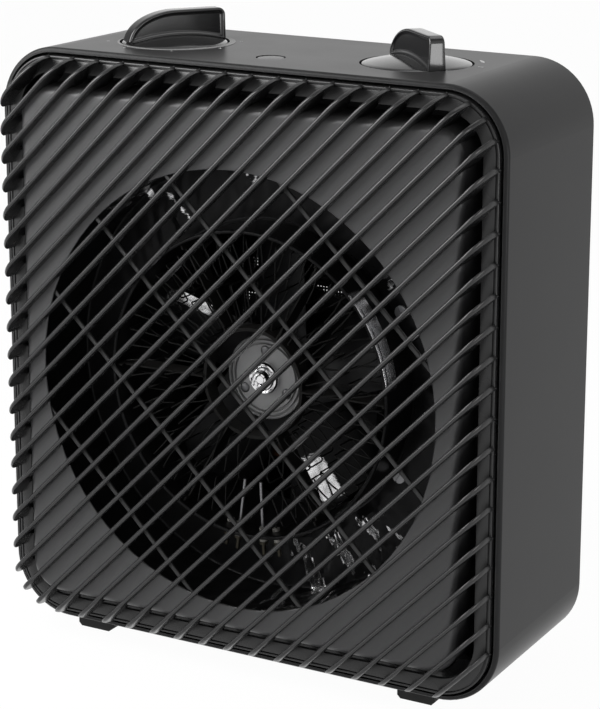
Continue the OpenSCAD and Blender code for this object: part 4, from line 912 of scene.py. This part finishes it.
def guard_bar(offset):
    """One bar: a rounded section (cosine and sine raised to a power under one)
    at stations along it, wider and thinner over the last five millimetres."""
    half = np.sqrt(bar_reach**2 - offset**2)
    pinch = np.array([0, 0.4, 1.0, 2.5, pinch_run])
    station = np.concatenate([-half + pinch, np.linspace(-half + 12, half - 12, 9), half - pinch[::-1]])
    to_end = (half - np.abs(station))[:, None]
    flat = np.clip(1 - to_end / pinch_run, 0, 1)
    ends = np.where(to_end < 0.2, 0.75, 1.0)
    a = np.linspace(0, 2 * np.pi, 14, endpoint=False)[None]
    across = offset + bar_half * ends * (1 + 0.25 * flat) * soft_power(np.cos(a))
    thick = (bar_back - bar_front) / 2 * ends * (1 - 0.4 * flat)
    deep = (bar_front + bar_back) / 2 + thick * soft_power(np.sin(a))
    along = np.broadcast_to(station[:, None], across.shape)
    return rod(place((along + across) / np.sqrt(2), deep, fan_height + (across - along) / np.sqrt(2)))


bar_set = [guard_bar(k * bar_spacing) for k in range(-2, 3)]
bars = make_piece("guard_bar_set", bar_set, "case", "bar_steel", 50)
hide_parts("guard_bars")

# %% [markdown]
# ## Duct lining and heater ring
#
# Thin bright foil lines the round duct. Its dark film is painted shade for the dark
# inside of the duct, and the metal shows only at the sharpest crumples near chosen
# places, where it gives painted highlights. A bump in the material would leave the
# foil's outline straight. The crumples are triangle waves in several directions laid
# over one another, which gives flat facets between creases. How bare each point
# of the metal is goes into an attribute for its finish to read.

# %% Crumple the foil
duct_radius = 94.2
duct_sheet = 0.8
duct_back = 25.0 - duct_sheet
duct_front = bar_back + 0.4
floor_inner = 66.6
foil_rows = 20
# Places round the duct (angle, spread, strength) where the foil is bared for painted highlights; the floor
# bared behind the ring gives the ring a bright reflection.
glint_places = ((-72, 14, 1.0), (-52, 12, 1.0), (39, 4, 0.9), (10, 22, 0.3), (128, 12, 0.5), (98, 5, 0.5))
ring_glint_place = ((24, 18, 1.0),)


def crumple(around_mm, along_mm):
    """Facets: triangle waves of several lengths in several directions, summed.
    A whole number of waves fits round the duct, so the seam closes."""
    draw = np.random.default_rng(5)
    girth = 2 * np.pi * duct_radius
    height = 0
    for size in (26.0, 19.0, 14.0, 10.0, 7.5, 5.5):
        lean = draw.uniform(-1.0, 1.0)
        count = max(1, round(girth / size))
        phase = around_mm / girth * count + lean * along_mm / size + draw.random()
        height = height + size / 40 * (2 * np.abs(2 * (phase % 1) - 1) - 1)
    return height


def near_place(angle, places=glint_places):
    """How close an angle is to one of the places (middle, spread, strength): the
    highest of their bumps."""
    middle, spread, share = np.array(places).T[..., None, None]
    off = (angle - middle + 180) % 360 - 180
    return (share * np.exp(-((off / spread) ** 2))).max(0)


def faded(value, start, run):
    """Nothing up to the start, all after the run, and even in between."""
    return np.clip((value - start) / run, 0, 1)


def foil_skin():
    """Rows run back along the duct's wall and in across its floor, then return
    close behind. Crumples push the front rows inwards."""
    around = np.linspace(0, 2 * np.pi, 420, endpoint=False)[None, :]
    wall_end, floor_start = duct_back - 1.6, duct_radius - 2.0
    turn_in = np.radians([15, 40, 65])
    bend_r, bend_q = floor_start + 1.65 * np.cos(turn_in), wall_end + 1.3 * np.sin(turn_in)
    wall_q = np.linspace(duct_front, wall_end, foil_rows)
    floor_r = np.linspace(floor_start, floor_inner, foil_rows)
    ones, zeros = np.ones(foil_rows), np.zeros(foil_rows)
    radius = np.concatenate([(duct_radius - 0.35) * ones, bend_r, floor_r])[:, None]
    depth = np.concatenate([wall_q, bend_q, (duct_back - 0.3) * ones])[:, None]
    inward_r = np.concatenate([ones, np.cos(turn_in), zeros])[:, None]
    inward_q = np.concatenate([zeros, np.sin(turn_in), ones])[:, None]
    steps = np.hypot(np.diff(radius, axis=0), np.diff(depth, axis=0))
    along = np.concatenate([[[0]], np.cumsum(steps, axis=0)])
    held = np.minimum(1, np.minimum(along, along[-1] - along) / 4)
    near = near_place(np.degrees(around))
    rise = 0.75 * held * (0.25 + 1.35 * near) * (crumple(around * duct_radius, along) + 1.0)
    back_r = radius[::-1] + 0.25 * inward_r[::-1] + 0 * around
    back_q = depth[::-1] + 0.2 * inward_q[::-1] + 0 * around
    r = np.concatenate([radius - inward_r * rise, back_r])
    q = np.concatenate([depth - inward_q * rise, back_q])
    slope = np.gradient(rise, axis=1) / np.mean(np.diff(around) * duct_radius)
    climb = np.gradient(rise, axis=0) / np.gradient(along[:, 0])[:, None]
    creased = faded(slope * 1.1 + climb * 0.9, 0.12, 0.1) * faded(near, 0.2, 0.3)
    ring_glint = faded(radius, 76, 2) * np.clip(near_place(np.degrees(around), ring_glint_place) * 2, 0, 1)
    bare = np.concatenate([np.maximum(creased, ring_glint), np.zeros_like(back_r)])
    return grid(place(r * np.cos(around), q, fan_height + r * np.sin(around)), True, True), bare


skin, skin_bare = foil_skin()
make_piece("duct_foil", [skin], "case", "bright_aluminium", 14, "foil", skin_bare)

# %% Roll the heater ring
ring_radius = 64.0
ring_outside = ring_radius + 1
glint_middle, glint_half = 25, 19


def ring_skin():
    """The ring's section turned once round: a rolled front edge, the wall, and
    the two flat flanges. Its outside shows bare metal over a stretch near the front,
    a painted highlight, and its dark film elsewhere is painted shade."""
    inside_q = (48, 30, 12, 4.2)
    outside_q = (4.2, 5.0, 8.0, 11.0, 12.0, 18, 25)
    section = (
        [[ring_radius, q] for q in inside_q]
        + arc(ring_radius + 0.5, 2.9, 0.9, 180, 360, 9)
        + [[ring_outside, q] for q in outside_q]
        + [[ring_radius + 10, 25], [ring_radius + 10, 25.8], [ring_outside, 25.8], [ring_outside, 47.2]]
        + [[ring_radius + 8, 47.2], [ring_radius + 8, 48]]
    )
    radius, depth = np.array(section).T[..., None]
    steps = 216
    degrees = np.linspace(0, 360, steps, endpoint=False)
    off = np.abs((degrees - glint_middle + 180) % 360 - 180)
    outside = (radius > ring_outside - 0.1) & (depth > 2) & (depth < 11.5)
    return turned(section, steps, closed=True), faded(glint_half - off, 0, 1.5) * outside


skin, skin_bare = ring_skin()
ring_piece = make_piece("heater_ring_shell", [skin], "case", "bright_aluminium", 40, "foil", skin_bare)
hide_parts("heater_ring")

# %% [markdown]
# ## Fan hub
#
# The hub cap is a painted disc with two fine grooves, three rivets and a plated
# nut on the shaft. Stacked cylinders would have edges that catch no light. All
# of these are round, so each is a profile turned about its own axis, with its
# small radii drawn in.

# %% Turn the hub
hub_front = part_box("fan_hub_cap")[0].y * 1000 - lip_y
hub_radius = 18.0
shaft_hole = 4.05
groove_half, groove_deep = 0.5, 1.4


def behind(front, profile):
    """A profile of (radius, distance behind a front plane) in depths."""
    return [[radius, front + q] for radius, q in profile]


def groove(radius):
    """A round-bottomed groove in the disc, from its inner to its outer edge."""
    inner, outer = radius - groove_half, radius + groove_half
    entry = [[inner - 0.08, 0], [inner, 0.1], [inner + 0.1, groove_deep]]
    return entry + [[outer - 0.1, groove_deep], [outer, 0.1], [outer + 0.08, 0]]


cap_profile = (
    [[shaft_hole, 3.8], [shaft_hole, 0.3], [4.3, 0], [9.5, 0]]
    + groove(14.6)
    + groove(16.4)
    + [[hub_radius - 0.5, 0], [hub_radius - 0.15, 0.12], [hub_radius, 0.5], [hub_radius, 3.4]]
    + [[hub_radius - 0.4, 3.8], [shaft_hole, 3.8]]
)
cap = make_piece("hub_cap_disc", [turned(behind(hub_front, cap_profile), 144)], "fan", "hub_paint", 40)
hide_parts("fan_hub_cap")

# %% Set the rivets and the nut
rivet_circle = 11.5
rivet_head, rivet_shank, dome_tall = 2.2, 1.5, 0.95


def rivet(angle):
    """A domed rivet: a closed head behind the sheet, a shank and a low dome."""
    x, z = rivet_circle * np.cos(np.radians(angle)), rivet_circle * np.sin(np.radians(angle))
    dome = [[rivet_head * np.cos(a), -dome_tall * np.sin(a)] for a in np.radians(np.linspace(0, 90, 9))]
    profile = [[0, 6.8], [rivet_head, 6.8], [rivet_head, 6.05], [rivet_shank, 6.0]]
    profile += [[rivet_shank, 0.02], [rivet_head, 0.02]] + dome
    return turned(behind(hub_front, profile), 28, x=x, height=fan_height + z)


rivets = make_piece("hub_rivet_set", [rivet(a) for a in (90, 210, 330)], "fan", "chrome", 30, "rivet_steel")
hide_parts("fan_hub_rivets")

nut_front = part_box("fan_hub_nut")[0].y * 1000 - lip_y
nut_profile = behind(
    nut_front,
    [[0, 0.5], [1.6, 0.5], [1.9, 0.15], [2.2, 0], [2.9, 0.1], [3.3, 0.7], [3.5, 1.6], [3.8, 2.0]]
    + [[4.6, 2.15], [5.0, 2.5], [5.2, 2.75], [5.8, 2.45], [6.3, 2.5], [6.8, 3.0], [7.0, 3.6]],
) + behind(hub_front, [[7.0, -0.02], [0, -0.02]])
nut = make_piece("hub_nut_turned", [turned(nut_profile, 72)], "fan", "chrome", 30)
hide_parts("fan_hub_nut")

# %% [markdown]
# ## Fan blades
#
# The five blades are pressed from sheet: each is cut from a shallow cylinder and
# set at an angle on the drum. Two of them have a stretch of leading edge in bare
# bright metal, a painted highlight set where glints fall. A plane with a thickness
# would have square edges all round, while a grid from root to tip and over the chord
# can thin its own.

# %% Press the blades
blade_root, blade_tip = 17.4, 60.0
blade_half_chord = 17.4
blade_bend = 55.0
blade_lean = np.radians(27.0)
blade_middle = 29.1
blade_half_sheet = 0.55
# Per blade: share of bare metal on its leading edge and where it starts along the chord, a painted
# highlight.
glint_edges = ((0.0, 0.5), (0.0, 0.5), (1.0, 0.66), (0.0, 0.5), (1.0, 0.2))


def blade(turn_deg, bare_share, bare_from):
    """One blade: the chord line is an arc of the bend radius, leant by the pitch.
    Front and rear skins lie half the sheet either side of it, and the corners
    at the tip are rounded off by shortening the chord there."""
    out = np.concatenate([[blade_root], np.linspace(20, 54, 10), [56, 58, 59.2, blade_tip]])[:, None]
    trim = np.array([0] * 11 + [0.6, 2.2, 4.6, 8.0])[:, None]
    c = np.linspace(-1, 1, 25)[None, :]
    chord = (blade_half_chord - trim) * c
    rise = blade_bend - np.sqrt(blade_bend**2 - chord**2)
    thin = blade_half_sheet * np.sqrt(np.clip(1 - np.abs(c) ** 12, 0.02, 1))
    skins = []
    for side in (1, -1):
        lift = rise + side * thin
        across, deep = rotated(chord, lift, blade_lean)
        length = np.sqrt(np.clip(out**2 - across**2, 0, None))
        x, z = rotated(length, across, np.radians(turn_deg))
        skins.append(place(x, blade_middle + deep, fan_height + z))
    loop = np.concatenate([skins[0], skins[1][:, ::-1]], axis=1)
    near = bare_share * faded(-c, bare_from, 0.08) * faded(out, 36, 4) * faded(59 - out, 0, 2)
    return rod(loop), np.concatenate([near, near[:, ::-1]], 1)


blades, blades_bare = zip(*[blade(20 + 72 * k, *edge) for k, edge in enumerate(glint_edges)])
drum_front = hub_front + 4.0
drum_back, drum_floor = 39, drum_front + 2
drum_outside, drum_inside, sleeve_outside = 17.9, 16.3, 7.5
drum_profile = [[drum_outside, drum_back], [drum_outside, drum_front + 0.5], [17.5, drum_front]]
drum_profile += [[shaft_hole, drum_front], [shaft_hole, drum_back], [sleeve_outside, drum_back]]
drum_profile += [[sleeve_outside, drum_floor], [drum_inside, drum_floor], [drum_inside, drum_back]]
drum = turned(drum_profile, closed=True)
fan_bare = np.concatenate([b.ravel() for b in blades_bare] + [np.zeros(len(drum[0]))])
fan = make_piece("fan_pressing", [*blades, drum], "fan", "fan_paint", 40, bare=fan_bare)
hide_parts("fan_wheel")

# %% [markdown]
# ## Lint screen
#
# Behind the air slots of the rear cover lies a round screen that keeps lint out
# of the fan. It could be a sheet with a see-through pattern, but real threads
# that cross at two depths hold up from every side and cost few faces.

# %% Cross the threads
cover_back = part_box("rear_cover")[1].y * 1000 - lip_y
screen_depth = cover_back - 2.8
screen_radius = 64.0
thread_spacing = 1.5
thread_radius = 0.56
layer_gap = 0.2


def threads(upright):
    """Straight threads side by side, each as long as the round frame is wide at
    its place: twice the root of the radius squared less the offset squared."""
    count = int((screen_radius - 1) / thread_spacing)
    depth = screen_depth + (layer_gap if upright else -layer_gap)
    made = []
    for offset in np.arange(-count, count + 1) * thread_spacing:
        half = np.sqrt(screen_radius**2 - offset**2) - 0.5
        along, beside = np.array([-half, half]), np.array([offset, offset])
        x, z = (beside, along) if upright else (along, beside)
        route = np.stack([x, np.full(2, depth), fan_height + z], -1)
        made.append(tube(route, thread_radius, np.array([[0.0, 1.0, 0.0]]), 5))
    return made


rim_inner = screen_radius - 1.6
rim_profile = [[rim_inner, -0.9], [screen_radius, -0.9], [screen_radius, 0.7], [rim_inner, 0.7]]
rim = turned(rim_profile, depth=screen_depth, closed=True)
make_piece("lint_screen", [rim, *threads(False), *threads(True)], "case", "black_plastic", 50)

# %% [markdown]
# ## Lamp and marks
#
# A flush lamp sits in the top between the knobs with a fine gap round it, and a
# few plain marks stand beside the knobs. The marks could be painted by a
# material, but then they would blur close up. A print has almost no height, so
# they are thin closed skins lying on the plastic.

# %% Fit the lens
lens_depth = (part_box("lamp_lens")[0].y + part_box("lamp_lens")[1].y) * 500 - lip_y
lens_profile = [[0, -4.0], [7.9, -4.0], [7.9, -2.6], [5.75, -2.6], [5.7, -0.55], [5.35, -0.2]]
lens_profile += [[4.0, -0.12], [0, -0.05]]
lens_skin = turned(lens_profile, 64, "up", 0.0, lens_depth, case_top)
lens = make_piece("lamp_window", [lens_skin], "case", "lens_plastic", 30)
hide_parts("lamp_lens")

# %% Print the marks
print_heights = np.array([0.06, 0.06, -0.05, -0.05])


def print_stroke(x, angle, radius, width):
    """A printed stroke about a knob's axis, from its polar places: a flat band of
    the given width along them, its upper face a hair above the plastic."""
    a = np.radians(angle)
    route = np.array([x, knob_depth]) + np.stack([radius * np.cos(a), radius * np.sin(a)], -1)
    ahead = np.gradient(route, axis=0)
    ahead /= np.linalg.norm(ahead, axis=1, keepdims=True)
    side = np.stack([-ahead[:, 1], ahead[:, 0]], -1) * np.reshape(width, (-1, 1)) / 2
    band = np.stack([route + side, route - side, route - side, route + side], 1)
    return rod(place(band[..., 0], band[..., 1], case_top + print_heights))


def ray_mark(x, angle, start, length, width):
    """A short stroke that points at a knob's axis."""
    return print_stroke(x, np.full(4, angle), np.linspace(start, start + length, 4), width)


def arc_mark(x, start, end, radius, widest):
    """A curved stroke about a knob's axis that swells from its ends."""
    swell = 0.15 + widest * np.sin(np.linspace(0.05, np.pi - 0.05, 15))
    return print_stroke(x, np.linspace(start, end, 15), np.full(15, radius), swell)


marks = [ray_mark(knob_place, 7, 25.6, 2.2, 0.9), arc_mark(knob_place, 30, 46, 26.7, 1.3)]
marks += [ray_mark(-knob_place, a, 27.2, 1.2, 0.5) for a in (-150, -105, -60, -15, 30)]
make_piece("dial_marks", marks, "case", "print_grey", 30, "print_white")

# %% [markdown]
# ## Floor, backdrop and light
#
# The photograph has a plain white ground and soft light. A pale floor keeps the
# heater's shadow. The world is white for the camera and for reflections, and
# gives a plain level of light. More light on the heater could whiten the ground
# too, but it would bleach the plastics. Reflections see a darker ceiling and a
# darker left side, which gives the ribs their contrast. The floor is see-through
# from below, so that the underside can be looked at.

# %% Levels of the studio
world_level = 0.38
ceiling_level = 0.25
left_level = 0.2
floor_white_share = 0.97
floor_half = 8.0
floor_gap = 0.0002
white = (1, 1, 1, 1)

# %% What the camera and shiny pieces see of the ground


def white_when_seen(tree, lit, shown, share):
    """Mixes a share of a shown shader into a lit one for camera, glossy and
    transmission rays, and leaves the light that it gives the heater alone."""
    path = node(tree, "ShaderNodeLightPath")
    seen = maths(tree, "MAXIMUM", path["Is Camera Ray"], path["Is Glossy Ray"])
    seen = maths(tree, "MAXIMUM", seen, path["Is Transmission Ray"])
    part = maths(tree, "MULTIPLY", seen, share)
    return node(tree, "ShaderNodeMixShader", {0: part, 1: lit, 2: shown})[0]


# %% Floor
floor_corners = [(-floor_half, -floor_half), (floor_half, -floor_half)]
floor_corners += [(floor_half, floor_half), (-floor_half, floor_half)]
floor_mesh = bpy.data.meshes.new("studio_floor")
floor_mesh.from_pydata([(x, y, -floor_gap) for x, y in floor_corners], [], [(0, 1, 2, 3)])
floor = bpy.data.objects.new("studio_floor", floor_mesh)
bpy.context.scene.collection.objects.link(floor)
floor_finish, tree, shader = new_finish("floor_paper")
tones = drifting(tree, (0.93, 0.93, 0.93), 0.8, 0.01, 200.0)
wire(shader, {"Base Color": tones["Colour"], "Roughness": tones["Roughness"]})
glow = node(tree, "ShaderNodeEmission", {"Color": white, "Strength": 1.0})[0]
shown = white_when_seen(tree, shader.outputs[0], glow, floor_white_share)
below = node(tree, "ShaderNodeNewGeometry")["Backfacing"]
clear = node(tree, "ShaderNodeBsdfTransparent")[0]
one_sided = node(tree, "ShaderNodeMixShader", {0: below, 1: shown, 2: clear})[0]
wire(tree.nodes["Material Output"], {"Surface": one_sided})
floor_mesh.materials.append(floor_finish)

# %% World
world = bpy.data.worlds.new("studio_world")
bpy.context.scene.world = world
world.use_nodes = True
tree = world.node_tree
tree.nodes.clear()
parts = node(tree, "ShaderNodeSeparateXYZ", {0: node(tree, "ShaderNodeTexCoord")["Generated"]})
ceiling = ramp(tree, parts["Z"], 0.4, 0.85, 1.0, ceiling_level)
left_side = ramp(tree, parts["X"], -0.92, -0.6, left_level, 1.0)
shade = maths(tree, "MULTIPLY", ceiling, left_side)
plain = maths(tree, "MAXIMUM", shade, node(tree, "ShaderNodeLightPath")["Is Camera Ray"])
lit = node(tree, "ShaderNodeBackground", {"Color": white, "Strength": world_level})[0]
shown = node(tree, "ShaderNodeBackground", {"Color": white, "Strength": plain})[0]
node(tree, "ShaderNodeOutputWorld", {"Surface": white_when_seen(tree, lit, shown, 1.0)})

# %% Lamps: place, point looked at, size and power
from mathutils import Vector

lamps = {
    "key_lamp": ((-0.34, -0.34, 0.44), (-0.03, -0.05, 0.17), 0.42, 4.4),
    "left_lamp": ((-0.75, -0.75, 0.18), (0.0, -0.05, 0.12), 0.3, 1.0),
    "right_lamp": ((0.8, -0.35, 0.15), (0.0, 0.0, 0.14), 0.3, 1.6),
    "top_lamp": ((0.1, 0.25, 1.3), (0, 0, 0.15), 0.9, 4),
}
for name, (lamp_place, look_at, size, power) in lamps.items():
    lamp_data = bpy.data.lights.new(name, "AREA")
    lamp_data.size = size
    lamp_data.energy = power
    lamp = bpy.data.objects.new(name, lamp_data)
    bpy.context.scene.collection.objects.link(lamp)
    lamp.location = lamp_place
    lamp.rotation_euler = (Vector(look_at) - Vector(lamp_place)).to_track_quat("-Z", "Y").to_euler()
print(len(lamps), "lamps and the world set")

# %% [markdown]
# ## Last step
#
# The view layer is brought up to date. The dressed heater has to stay inside
# the box of the solids.

# %% Bring the scene up to date
bpy.context.view_layer.update()
